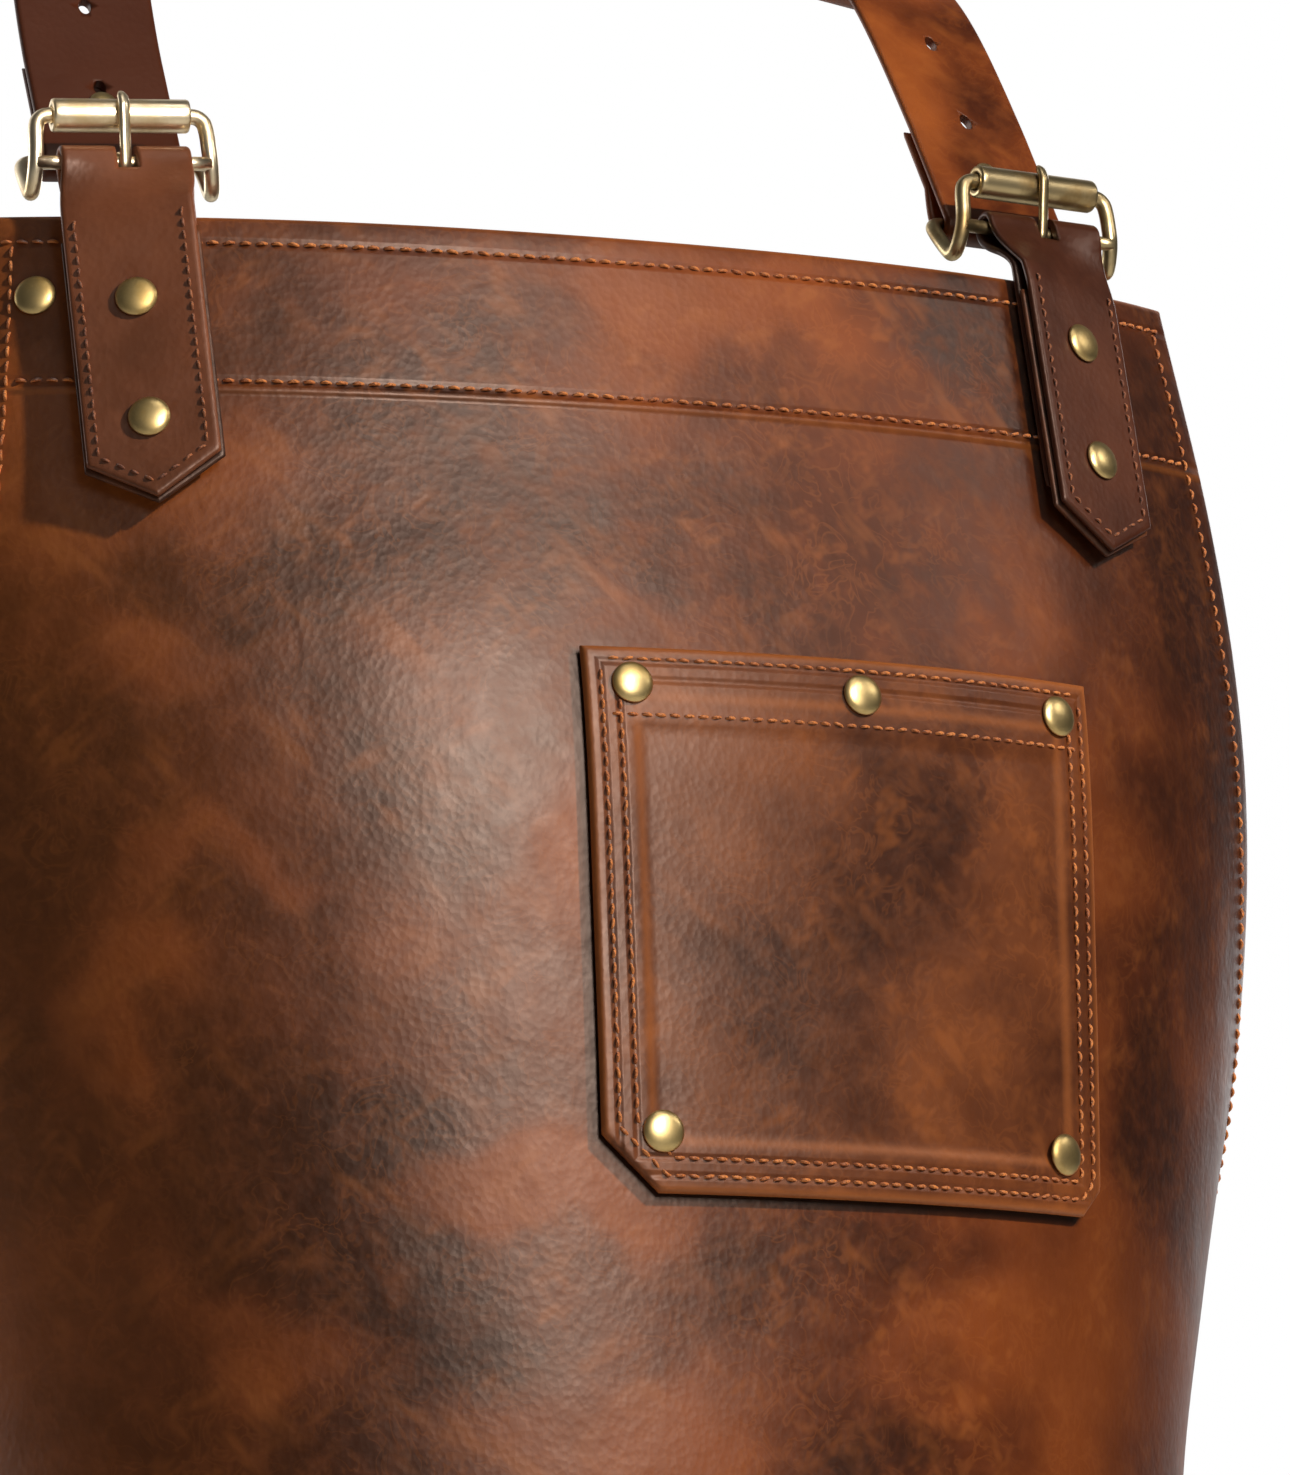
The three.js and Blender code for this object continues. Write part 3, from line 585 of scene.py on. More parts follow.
def brass(name, tone, dull, rough):
    n = Nodes(bpy.data.materials.new(name))
    worn = n.noise(90, 4.0, 0.6)
    fine = n.noise(900, 3.0, 0.6, 0.0, n.stretched((1, 1, 0.15)))
    colour = n.mix(n.span(worn, 0.38, 0.68), tone, dull)
    spread = n.add(rough, n.mul(n.span(worn, 0.35, 0.7), 0.14))
    normal = n.bump(fine, 0.00003, n.bump(worn, 0.0001, None, 0.3), 0.3)
    n.set(Base_Color=colour, Metallic=1.0, Roughness=spread, Normal=normal)
    return n.holder


def thread(name, light, dark):
    n = Nodes(bpy.data.materials.new(name))
    ply = n.new("TexWave", n.coords["Object"], bands_direction="DIAGONAL")
    n.fill(ply, Scale=520, Distortion=1.5)
    colour = n.mix(n.span(n.noise(120, 3.0), 0.35, 0.65), light, dark)
    normal = n.bump(ply.outputs["Fac"], 0.0002, None, 0.6)
    n.set(Base_Color=colour, Roughness=0.62, Normal=normal, Sheen_Weight=0.2)
    return n.holder


# Patches of the hide: side, drop, half width and half height in millimetres, and tone
# (dark below 0, warm above)
SPOTS = [
    (-95, 35, 42, 20, -0.1),
    (-118, 95, 42, 13, -0.09),
    (-30, 90, 22, 14, -0.08),
    (-80, 150, 28, 24, -0.1),
    (-125, 186, 28, 16, -0.09),
    (-120, 235, 34, 30, -0.14),
    (-74, 277, 32, 20, -0.11),
    (-176, 225, 16, 24, -0.13),
    (-172, 140, 20, 32, -0.11),
    (140, 210, 20, 44, -0.1),
    (115, 38, 32, 14, -0.13),
    (98, 14, 34, 18, -0.12),
    (166, 70, 18, 55, -0.12),
    (30, 272, 44, 18, -0.07),
    (-160, 205, 17, 26, 0.1),
    (-130, 168, 28, 9, 0.09),
    (-66, 248, 48, 15, 0.12),
    (66, 284, 52, 18, 0.05),
    (120, 160, 24, 36, 0.06),
    (42, 72, 56, 20, 0.05),
    (-125, 288, 42, 16, 0.1),
    (-40, 308, 42, 20, 0.08),
    (-146, 112, 26, 12, 0.09),
    (-5, 17, 42, 11, 0.06),
]


def hide_spots(n):
    """Dark and warm patches at their places on the hide, with ragged outlines."""
    s, drop = cut_axes(n)
    ragged = n.mul(n.sub(n.noise(26, 2.0, 0.6), 0.5), 0.07)
    spread = n.mul(n.sub(n.noise(21, 2.0, 0.6), 0.5), 0.07)
    place = n.new("CombineXYZ", n.add(s, ragged), n.add(drop, spread)).outputs[0]
    depth = 1.3
    total = 0.0
    for side, down, wide, tall, tone in SPOTS:
        scale, shift = (1 / (wide * MM), 1 / (tall * MM), 0), (-side / wide, -down / tall, 0)
        step = n.new("VectorMath", place, scale, shift, operation="MULTIPLY_ADD")
        away = n.new("VectorMath", step.outputs[0], operation="LENGTH").outputs["Value"]
        total = n.add(total, n.span(away, 0.35, 1.5, tone * depth, 0.0))
    return total


def painted_pocket_shadow(n):
    """Painted shadow in the hide along the pocket's outline. lit: how far it falls short on the lit sides."""
    s, drop = cut_axes(n)
    x0, y0 = POCKET["side"] * MM, POCKET["drop"] * MM
    x1, y1 = x0 + POCKET["width"] * MM, y0 + POCKET["height"] * MM
    lit = 0.0013
    right = n.add(n.sub(x0 + POCKET["right"] * MM - y1, s), drop)
    left = n.add(n.sub(s, x1 - POCKET["left"] * MM + y1), drop)
    sides = [
        n.sub(x0, s),
        n.sub(s, x1 - lit),
        n.sub(y0 + lit, drop),
        n.sub(drop, y1),
        n.mul(right, 0.7071),
        n.mul(left, 0.7071),
    ]
    away = sides[0]
    for side in sides[1:]:
        away = n.most(away, side)
    return n.span(away, 0.0004, 0.0026, 0.92, 0.0)


def hide_wear_and_shade(n, colour, dark, pale):
    """Painted shadow round the pocket, painted shade on the left side and painted light on the right side,
    and paler leather on the top edge and the hem's ridge.
    """
    s, drop = cut_axes(n)
    # Painted shade on the left side (s above 0) and painted light on the right side (s below 0).
    colour = n.mix(n.span(s, 0.03, 0.16, 0.0, 0.6), colour, dark)
    colour = n.mix(n.span(s, -0.19, -0.07, 0.28, 0.0), colour, pale)
    # Painted shadow: near-black leather along the pocket's outline.
    colour = n.mix(painted_pocket_shadow(n), colour, rgb(9, 4, 2))
    edge = n.span(drop, 0.0, 0.0022, 0.5, 0.0)
    ridge = n.mul(row_groove(n, drop, (TOP_HEM + 1) * MM, 0.0016), 0.25)
    return n.mix(n.most(edge, ridge), colour, pale)


def pocket_inset(n):
    """Distance in from the pocket's nearest straight edge, in metres."""
    x, y = cut_axes(n)
    w, h = POCKET["width"] * MM, POCKET["height"] * MM
    across = n.least(x, n.sub(w, x))
    return n.least(across, n.least(y, n.sub(h, y)))


def pocket_wear(n, colour, dark, pale):
    """Paler leather on the pocket's edges and on the step of its turned rim."""
    inset = pocket_inset(n)
    edge = n.span(inset, 0.0, 0.0032, 0.75, 0.0)
    ridge = n.mul(row_groove(n, inset, (POCKET["rim"] + 0.8) * MM, 0.0022), 0.4)
    return n.mix(n.most(edge, ridge), colour, pale)


def tab_painted_light_and_shade(n, colour, dark, pale):
    """Painted light on the tab on the right and painted shade on the one on the left, so the right one is
    paler.
    """
    x = n.apart(n.coords["Object"])["X"]
    colour = n.mix(n.span(x, -0.06, 0.02, 0.3, 0.0), colour, pale)
    return n.mix(n.span(x, 0.02, 0.06, 0.0, 0.65), colour, dark)


def strap_painted_shade(n, colour, dark, pale):
    """Painted shade: the strap's side over the right shoulder is darker than the other."""
    x = n.apart(n.coords["Object"])["X"]
    return n.mix(n.span(x, -0.03, 0.05, 0.95, 0.0), colour, dark)


def pocket_rows(n):
    """Relief of the pocket's two stitched rows, in millimetres."""
    inset = pocket_inset(n)
    rows = [row_groove(n, inset, row * MM, 0.0014) for row in POCKET_ROWS]
    return n.mul(n.most(*rows), -0.3)


HIDE_LOOK = leather(
    "hide_leather", ((46, 18, 6), (95, 42, 13), (140, 68, 22), (178, 102, 46)), 14.0, 0.5, 0.39,
    rows=hide_rows, wear_and_shade=hide_wear_and_shade, spots=hide_spots,
)
POCKET_LOOK = leather(
    "pocket_leather", ((56, 26, 14), (92, 47, 24), (124, 66, 30), (172, 98, 46)), 15.0, 0.45, 0.37, 0.8,
    rows=pocket_rows, wear_and_shade=pocket_wear,
)
TAB_LOOK = leather(
    "tab_leather", ((60, 27, 14), (92, 45, 25), (114, 59, 32), (160, 96, 62)), 20.0, 0.2, 0.36, 0.5,
    wear_and_shade=tab_painted_light_and_shade,
)
EDGE_LOOK = leather(
    "edge_leather", ((44, 22, 13), (76, 40, 23), (100, 54, 28), (130, 74, 40)), 60.0, 0.2, 0.4, 0.4,
)
STRAP_LOOK = leather(
    "strap_leather", ((70, 26, 4), (122, 56, 16), (154, 78, 26), (186, 106, 44)), 22.0, 0.3, 0.42, 0.5,
    wear_and_shade=strap_painted_shade,
)
BRASS_BRIGHT = brass("brass_bright", rgb(240, 222, 188), rgb(210, 184, 140), 0.3)
BRASS_DULL = brass("brass_dull", rgb(190, 170, 128), rgb(140, 116, 76), 0.32)
BRASS_RIVET = brass("brass_rivet", rgb(206, 180, 124), rgb(164, 136, 82), 0.34)
THREAD_LOOK = thread("orange_thread", rgb(226, 134, 56), rgb(184, 98, 34))
TAB_THREAD_LOOK = thread("brown_thread", rgb(168, 94, 42), rgb(122, 62, 28))


def done(obj, slot, *nodes):
    """Ride on the only body and stand for the CAD nodes named. slot is not used."""
    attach(obj, "root")
    if nodes:
        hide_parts(*nodes)


# The hide
def between(low, high, rim, rim_end, count):
    """Grid places from low to high, closer together in the rim at each end."""
    middle = np.linspace(low + rim_end, high - rim_end, count)
    return np.concatenate([low + rim, middle, (high - rim)[::-1]])


def body():
    drops = between(0, APRON_LENGTH, HIDE_RIM, HIDE_RIM_END, HIDE_ROWS)
    halves = [float(half_width(drop)) for drop in drops]
    s = np.array([between(-half, half, HIDE_RIM, HIDE_RIM_END, HIDE_COLUMNS) for half in halves])
    d = np.repeat(drops[:, None], s.shape[1], 1)
    half = half_width(drops)[:, None]
    side = half - np.abs(s)
    end = np.minimum(d, APRON_LENGTH - d)
    near = np.minimum(side, end)
    hem = np.maximum(1 - ease(side, SIDE_HEM, SIDE_HEM + HEM_STEP), 1 - ease(d, TOP_HEM - HEM_STEP, TOP_HEM))
    hem = np.maximum(hem, ease(d, APRON_LENGTH - BOTTOM_HEM, APRON_LENGTH - BOTTOM_HEM + HEM_STEP))
    thick = HIDE * (1 + hem)
    curve = rounding(near, HIDE)
    position = skin(s, d)
    out = axes_at(s, d)[2]
    outer = position + out * (-thick / 2 + thick / 2 * curve)[..., None]
    inner = position + out * (-thick / 2 - thick / 2 * curve)[..., None]
    obj = sheet_mesh("hide", outer, inner, np.stack([s, d], -1), HIDE_LOOK)
    done(obj, "hide", "apron_body")
    return obj


def on_hide(s, drop):
    """Points on the hide and its outward directions there."""
    return skin(s, drop), axes_at(s, drop)[2]


def body_thread():
    reach = BIB_HALF - 5
    top = np.linspace(-reach, reach, 180)
    runs = [on_hide(top, UPPER_ROW), on_hide(top, LOWER_ROW)]
    down = np.linspace(8, APRON_LENGTH - HEM_CORNER, 500)
    for hand in (-1, 1):
        runs.append(on_hide(hand * (half_width(down) - SIDE_ROW), down))
    across = np.linspace(-SKIRT_HALF + HEM_CORNER, SKIRT_HALF - HEM_CORNER, 260)
    runs.append(on_hide(across, APRON_LENGTH - SIDE_ROW))
    turn = np.linspace(0, math.pi / 2, 24)
    inside = HEM_CORNER - SIDE_ROW
    for hand in (-1, 1):
        s = hand * (SKIRT_HALF - HEM_CORNER + inside * np.cos(turn))
        runs.append(on_hide(s, APRON_LENGTH - HEM_CORNER + inside * np.sin(turn)))
    done(stitches("hide_thread", runs, THREAD_LOOK), "hide")


# The pocket
def pocket_limits(y):
    """Where each row of the pocket starts and ends, with its foot corners cut off."""
    w, h = POCKET["width"], POCKET["height"]
    low = np.maximum(0, POCKET["right"] - (h - y))
    high = w - np.maximum(0, POCKET["left"] - (h - y))
    return low, high


def pocket_edge(x, y):
    """Distance in from the nearest of the pocket's sides and cut corners."""
    w, h = POCKET["width"], POCKET["height"]
    cut_right = (x + (h - y) - POCKET["right"]) / math.sqrt(2)
    cut_left = ((w - x) + (h - y) - POCKET["left"]) / math.sqrt(2)
    return np.minimum.reduce([x, w - x, y, h - y, cut_right, cut_left])


def pocket_lift(x, y):
    a = np.clip(x / POCKET["width"], 0, 1)
    b = np.clip(y / POCKET["height"], 0, 1)
    return POCKET["belly"] * np.sin(math.pi * a) * (1 - b) ** 0.7


def pocket_face(x, y):
    """Height of the pocket's outer face above the hide: its turned rim stands above the single leather."""
    w, h = POCKET["width"], POCKET["height"]
    rim, band = POCKET["rim"], POCKET["band"]
    inside = np.minimum.reduce([x - rim, w - rim - x, y - band, h - rim - y])
    return POCKET_STAND + pocket_lift(x, y) - POCKET_STEP * ease(inside, -0.6, 2.2)


def pocket():
    h = POCKET["height"]
    ys = np.concatenate([POCKET_RIM, np.arange(POCKET_RIM_END, h - 2.5, 1.5), (h - POCKET_RIM)[::-1]])
    x = np.array([between(*pocket_limits(y), POCKET_RIM, POCKET_RIM_END, POCKET_COLUMNS) for y in ys])
    y = np.repeat(ys[:, None], x.shape[1], 1)
    near = np.maximum(pocket_edge(x, y), 0)
    face = pocket_face(x, y)
    single = ease(near, POCKET["rim"], POCKET["rim"] + HEM_STEP)
    inner_lift = LAY_GAP + pocket_lift(x, y) + POCKET["leather"] * 0.55 * single
    middle = (face + inner_lift) / 2
    curve = rounding(near, POCKET["leather"])
    s, d = POCKET["side"] + x, POCKET["drop"] + y
    position, out = skin(s, d), axes_at(s, d)[2]
    outer = position + out * (middle + (face - middle) * curve)[..., None]
    inner = position + out * (middle + (inner_lift - middle) * curve)[..., None]
    done(sheet_mesh("pocket_patch", outer, inner, np.stack([x, y], -1), POCKET_LOOK), "hide", "pocket")


def pocket_run(xy, count=160):
    """Thread line through corner points (x, y) of the pocket."""
    xy = np.asarray(xy, float)
    gone = down_line(xy)
    t = np.linspace(0, gone[-1], count)
    x, y = (np.interp(t, gone, xy[:, j]) for j in (0, 1))
    s, d = POCKET["side"] + x, POCKET["drop"] + y
    out = axes_at(s, d)[2]
    return skin(s, d) + out * pocket_face(x, y)[:, None], out


def pocket_thread():
    w, h, right, left = (POCKET[k] for k in ("width", "height", "right", "left"))
    runs = []
    for inset in POCKET_ROWS:
        turn = inset * (math.sqrt(2) - 1)
        runs.append(pocket_run([
            (inset, POCKET_ROW_TOP), (inset, h - right - turn), (right + turn, h - inset),
            (w - left - turn, h - inset), (w - inset, h - left - turn), (w - inset, POCKET_ROW_TOP),
        ], 420))
    for y in MOUTH_ROWS:
        runs.append(pocket_run([(POCKET_ROW_TOP, y), (w - POCKET_ROW_TOP, y)]))
    done(stitches("pocket_thread", runs, THREAD_LOOK, pitch=3.7, length=2.7, radius=0.46), "hide")


# Tabs
TAIL_OUT = LAY_GAP + TAB_LEATHER / 2
BACKING_OUT = TAIL_OUT + TAB_LEATHER / 2 + SEAT_GAP + TAB_BACKING / 2
LEAF_OUT = BACKING_OUT + TAB_BACKING / 2 + SEAT_GAP + TAB_LEATHER / 2
FOLD_RADIUS = BAR_RADIUS + 2 * SEAT_GAP + TAB_LEATHER / 2


def bezier(a, b, c, d, count):
    t = np.linspace(0, 1, count + 1)[:, None]
    a, b, c, d = (np.asarray(v, float) for v in (a, b, c, d))
    return (1 - t) ** 3 * a + 3 * (1 - t) ** 2 * t * b + 3 * (1 - t) * t**2 * c + t**3 * d


def tab_turn(hand):
    return -hand * math.radians(TAB_TWIST)


def about_y(points, angle):
    c, s = math.cos(angle), math.sin(angle)
    return points @ np.array([[c, 0, s], [0, 1, 0], [-s, 0, c]]).T


def twisted(path, hand):
    """Stations (point, side) of a path of (out, up) pairs, twisted towards the buckle above the edge."""
    centres, sides = [], []
    for out, up in path:
        angle = tab_turn(hand) * float(ease(up, 0, BAR_UP))
        p = about_y(np.array([0, up, out - BAR_OUT]), angle)
        centres.append(p + [0, 0, BAR_OUT])
        sides.append(about_y(np.array([-1.0, 0, 0]), angle))
    return np.array(centres), np.array(sides)


def strip_piece(name, grid, along, material, place=None):
    """Closed strip from strip_grid's faces. along: the distance down its length in each row."""
    outer, inner, x = grid
    flat = np.stack([x, np.repeat(along[:, None], x.shape[1], 1)], -1)
    if place is not None:
        outer, inner = (moved(place, face.reshape(-1, 3)).reshape(face.shape) for face in (outer, inner))
    return sheet_mesh(name, outer, inner, flat, material)


def strip_grid(centres, sides, halves, share, lift_of):
    """Grids of a strip's two faces, and x across it. lift_of(x) gives the half thickness."""
    along = unit(np.gradient(centres, axis=0))
    out = unit(np.cross(along, sides))
    over = np.cross(out, along)
    x = halves[:, None] * share[None, :]
    lift = lift_of(x)
    base = centres[:, None] + over[:, None] * x[..., None]
    return base + out[:, None] * lift[..., None], base - out[:, None] * lift[..., None], x


def point_distance(x, y, half, tip):
    """Distance inside the outline of a tab whose point is at y = tip and whose leather is above it."""
    slope = math.hypot(half, TAB_POINT)
    cut = ((y - tip) * half - np.abs(x) * TAB_POINT) / slope
    return np.minimum(half - np.abs(x), cut)


def tab_profile(tip, half, top):
    y = np.concatenate([
        tip + TAB_POINT * np.array([0.02, 0.06, 0.14, 0.25, 0.4, 0.55, 0.7, 0.82, 0.92, 1.0]),
        np.arange(tip + TAB_POINT + 1.2, top - 0.8, 1.6),
        [top],
    ])
    halves = np.minimum(half, np.maximum((y - tip) / TAB_POINT * half, 0.25))
    return y, halves


def tab_piece(tab):
    hand, half = tab["hand"], TAB_WIDTH / 2
    place = place_on(tab["across"], 0)
    tip = -tab["length"]
    ys, halves = tab_profile(tip, half, -TAB_FLAT)
    fold_front, fold_rear = BAR_OUT + FOLD_RADIUS, BAR_OUT - FOLD_RADIUS
    bend = ((LEAF_OUT + fold_front) / 2, BAR_UP / 3)
    front = bezier((LEAF_OUT, -TAB_FLAT), (LEAF_OUT, 0), bend, (fold_front, BAR_UP), 16)
    a = np.linspace(0, math.pi, 17)[1:-1]
    over = np.stack([BAR_OUT + FOLD_RADIUS * np.cos(a), BAR_UP + FOLD_RADIUS * np.sin(a)], -1)
    rear = bezier((fold_rear, BAR_UP), (fold_rear, BAR_UP / 2), (TAIL_OUT, BAR_UP / 2), (TAIL_OUT, 0), 14)
    end = -tab["lower"] - TAB_TAIL_PAST
    tail = np.stack([np.full(20, TAIL_OUT), np.linspace(0, end, 21)[1:]], -1)
    point = np.stack([np.full(len(ys) - 1, LEAF_OUT), ys[:-1]], -1)
    path = np.concatenate([point, front, over, rear, tail])
    widths = np.concatenate([halves[:-1], np.full(len(path) - len(ys) + 1, half)])
    centres, sides = twisted(path, hand)
    gone = down_line(centres)
    flat_y = tip + TAB_POINT * 0.02 + gone

    def lift(x):
        y = np.repeat(flat_y[:, None], x.shape[1], 1)
        near = np.maximum(point_distance(x, y, half, tip), 0)
        near = np.minimum(near, (gone[-1] - gone)[:, None] + 0.05)
        return TAB_LEATHER / 2 * rounding(near, TAB_LEATHER / 2)

    grid = strip_grid(centres, sides, widths, shares(half, TAB_COLUMN), lift)
    obj = strip_piece("tab_leaf_" + tab["word"], grid, flat_y, TAB_LOOK, place)
    slot_cut(obj, place, hand)
    done(obj, "tab_leather", "tab_" + tab["word"])

    ys, halves = tab_profile(tip - TAB_LIP, half + TAB_LIP, -TAB_FLAT)
    centres, sides = twisted(np.stack([np.full(len(ys), BACKING_OUT), ys], -1), hand)

    def backing_lift(x):
        y = np.repeat(ys[:, None], x.shape[1], 1)
        near = np.maximum(point_distance(x, y, half + TAB_LIP, tip - TAB_LIP), 0)
        return TAB_BACKING / 2 * rounding(near, TAB_BACKING / 2)

    grid = strip_grid(centres, sides, halves, shares(half + TAB_LIP, TAB_COLUMN), backing_lift)
    obj = strip_piece("tab_under_" + tab["word"], grid, ys, EDGE_LOOK, place)
    done(obj, "tab_leather", "tab_backing_" + tab["word"])
    tab_thread(tab, place)


def tab_thread(tab, place):
    half = TAB_WIDTH / 2
    side = half - TAB_ROW
    tip_in = -tab["length"] + TAB_ROW * math.hypot(half, TAB_POINT) / half
    side_in = tip_in + side * TAB_POINT / half
    corners = [(-side, TAB_ROW_TOP), (-side, side_in), (0, tip_in), (side, side_in), (side, TAB_ROW_TOP)]
    runs = []
    for (x0, y0), (x1, y1) in zip(corners[:-1], corners[1:]):
        t = np.linspace(0, 1, 60)[:, None]
        face = np.full_like(t, LEAF_OUT + TAB_LEATHER / 2)
        line = np.concatenate([x0 + (x1 - x0) * t, y0 + (y1 - y0) * t, face], 1)
        runs.append((moved(place, line), np.repeat(place[:3, 2][None], 60, 0)))
    obj = stitches("tab_thread_" + tab["word"], runs, TAB_THREAD_LOOK, pitch=3.3, length=2.4, radius=0.4)
    done(obj, "tab_leather")


def cutter(size, matrix, kind="box"):
    if kind == "box":
        bpy.ops.mesh.primitive_cube_add(size=1)
    else:
        bpy.ops.mesh.primitive_cylinder_add(vertices=28, radius=0.5, depth=1)
    obj = bpy.context.object
    obj.data.transform(Matrix.Diagonal((size[0] * MM, size[1] * MM, size[2] * MM, 1)))
    m = Matrix(matrix.tolist())
    m.translation = m.translation * MM
    obj.data.transform(m)
    return obj


def cut_with(obj, cutters):
    for tool in cutters:
        modifier = obj.modifiers.new("cut", "BOOLEAN")
        modifier.operation = "DIFFERENCE"
        modifier.solver = "EXACT"
        modifier.object = tool
    graph = bpy.context.evaluated_depsgraph_get()
    mesh = bpy.data.meshes.new_from_object(obj.evaluated_get(graph))
    obj.modifiers.clear()
    obj.data = mesh
    for tool in cutters:
        bpy.data.objects.remove(tool)


def shifted(x, y, z):
    return posed(*np.eye(3), (x, y, z))


def turned_place(place, hand):
    """Frame of the buckle: the tab's frame moved to the middle bar and turned."""
    m = shifted(0, 0, BAR_OUT)
    m[:3, :3] = about_y(np.eye(3), tab_turn(hand)).T
    return place @ m


def slot_cut(obj, place, hand):
    foot, top = BAR_UP - PRONG_EYE - SEAT_GAP, BAR_UP + 2 * FOLD_RADIUS
    m = turned_place(place, hand) @ shifted(0, (foot + top) / 2, 0)
    cut_with(obj, [cutter((PRONG_WIDTH + 2, top - foot, 4 * FOLD_RADIUS), m)])


# Buckles
def buckle(tab):
    word, hand = tab["word"], tab["hand"]
    look = BRASS_BRIGHT if word == "right" else BRASS_DULL
    m = turned_place(place_on(tab["across"], 0), hand) @ shifted(0, 0, -BAR_OUT)
    middle_half = (FRAME_TOP_HALF + FRAME_FOOT_HALF) / 2
    side = np.array([
        [FRAME_TOP_HALF, ROLLER_UP, ROLLER_OUT],
        [middle_half, BAR_UP, BAR_OUT],
        [FRAME_FOOT_HALF, FOOT_UP, FOOT_OUT],
        [FRAME_FOOT_HALF, REAR_UP, REAR_OUT],
    ])
    corners = np.concatenate([side, side[::-1] * [-1, 1, 1]])
    points = []
    for i, corner in enumerate(corners):
        before = unit(corners[i - 1] - corner) * FRAME_CORNER + corner
        after = unit(corners[(i + 1) % len(corners)] - corner) * FRAME_CORNER + corner
        for t in np.linspace(0, 1, 4):
            points.append((1 - t) ** 2 * before + 2 * (1 - t) * t * corner + t * t * after)
    ring = tube("buckle_wire_" + word, smooth_loop(points, True, 7), FRAME_RADIUS, m, look, 18)
    line = np.array([[x, BAR_UP, BAR_OUT] for x in np.linspace(-middle_half, middle_half, 9)])
    bar = tube("buckle_bar_" + word, line, BAR_RADIUS, m, look, 18, closed=False)
    done(ring, "brass", "buckle_frame_" + word)
    done(bar, "brass")

    half = FRAME_TOP_HALF - FRAME_CORNER
    turn = shifted(0, ROLLER_UP, ROLLER_OUT)
    turn[:3, :3] = [[0, 0, 1], [0, 1, 0], [-1, 0, 0]]
    soft, bore = 0.7, FRAME_RADIUS + 1.4 * SEAT_GAP
    rim = [(bore, half - 0.4), (bore + 0.2, half), (ROLLER_RADIUS - soft, half)]
    rim += [(ROLLER_RADIUS - soft * 0.3, half - soft * 0.25), (ROLLER_RADIUS, half - soft)]
    profile = [(r, -x) for r, x in rim]
    profile += [(ROLLER_RADIUS, x) for x in np.linspace(-half + 2, half - 2, 12)]
    profile += rim[::-1]
    obj = ring_lathe("buckle_barrel_" + word, profile, m @ turn, look)
    done(obj, "brass", "buckle_roller_" + word)

    bar_at = np.array([0, BAR_UP, BAR_OUT], float)
    roller_at = np.array([0, ROLLER_UP, ROLLER_OUT], float)
    towards = unit(roller_at - bar_at)
    ahead = np.array([0, -towards[2], towards[1]])
    rest = ROLLER_RADIUS + SEAT_GAP + PRONG_THICKNESS / 2
    eye_radius = PRONG_EYE - PRONG_THICKNESS / 2

    def around(centre, radius, angles):
        return [centre + (ahead * math.cos(t) + towards * math.sin(t)) * radius for t in angles]

    arc = around(roller_at, rest, np.linspace(0, math.radians(PRONG_WRAP), 7))
    root = bar_at + ahead * eye_radius
    eye = around(bar_at, eye_radius, np.linspace(-math.pi * 1.45, 0, 22))
    line = smooth_loop(np.array(eye[::3] + [root + (arc[0] - root) * 0.5] + arc), False, 6)
    taper = np.concatenate([np.ones(len(line) - 14), np.linspace(1, 0.72, 12), [0.5, 0.2]])
    radius = PRONG_THICKNESS / 2 * taper
    wide = PRONG_WIDTH / PRONG_THICKNESS
    obj = tube("buckle_tongue_" + word, line, radius, m, look, 14, closed=False, squash=wide)
    done(obj, "brass", "buckle_prong_" + word)


def ring_lathe(name, profile, matrix, material, sides=48):
    """Closed ring turned round local Z from an open profile whose two ends join."""
    points, ids = turned_rings(profile, sides)
    ids = np.concatenate([ids, ids[:1]], 0)
    return mesh_object(name, moved(matrix, points), quads(ids, True), material)


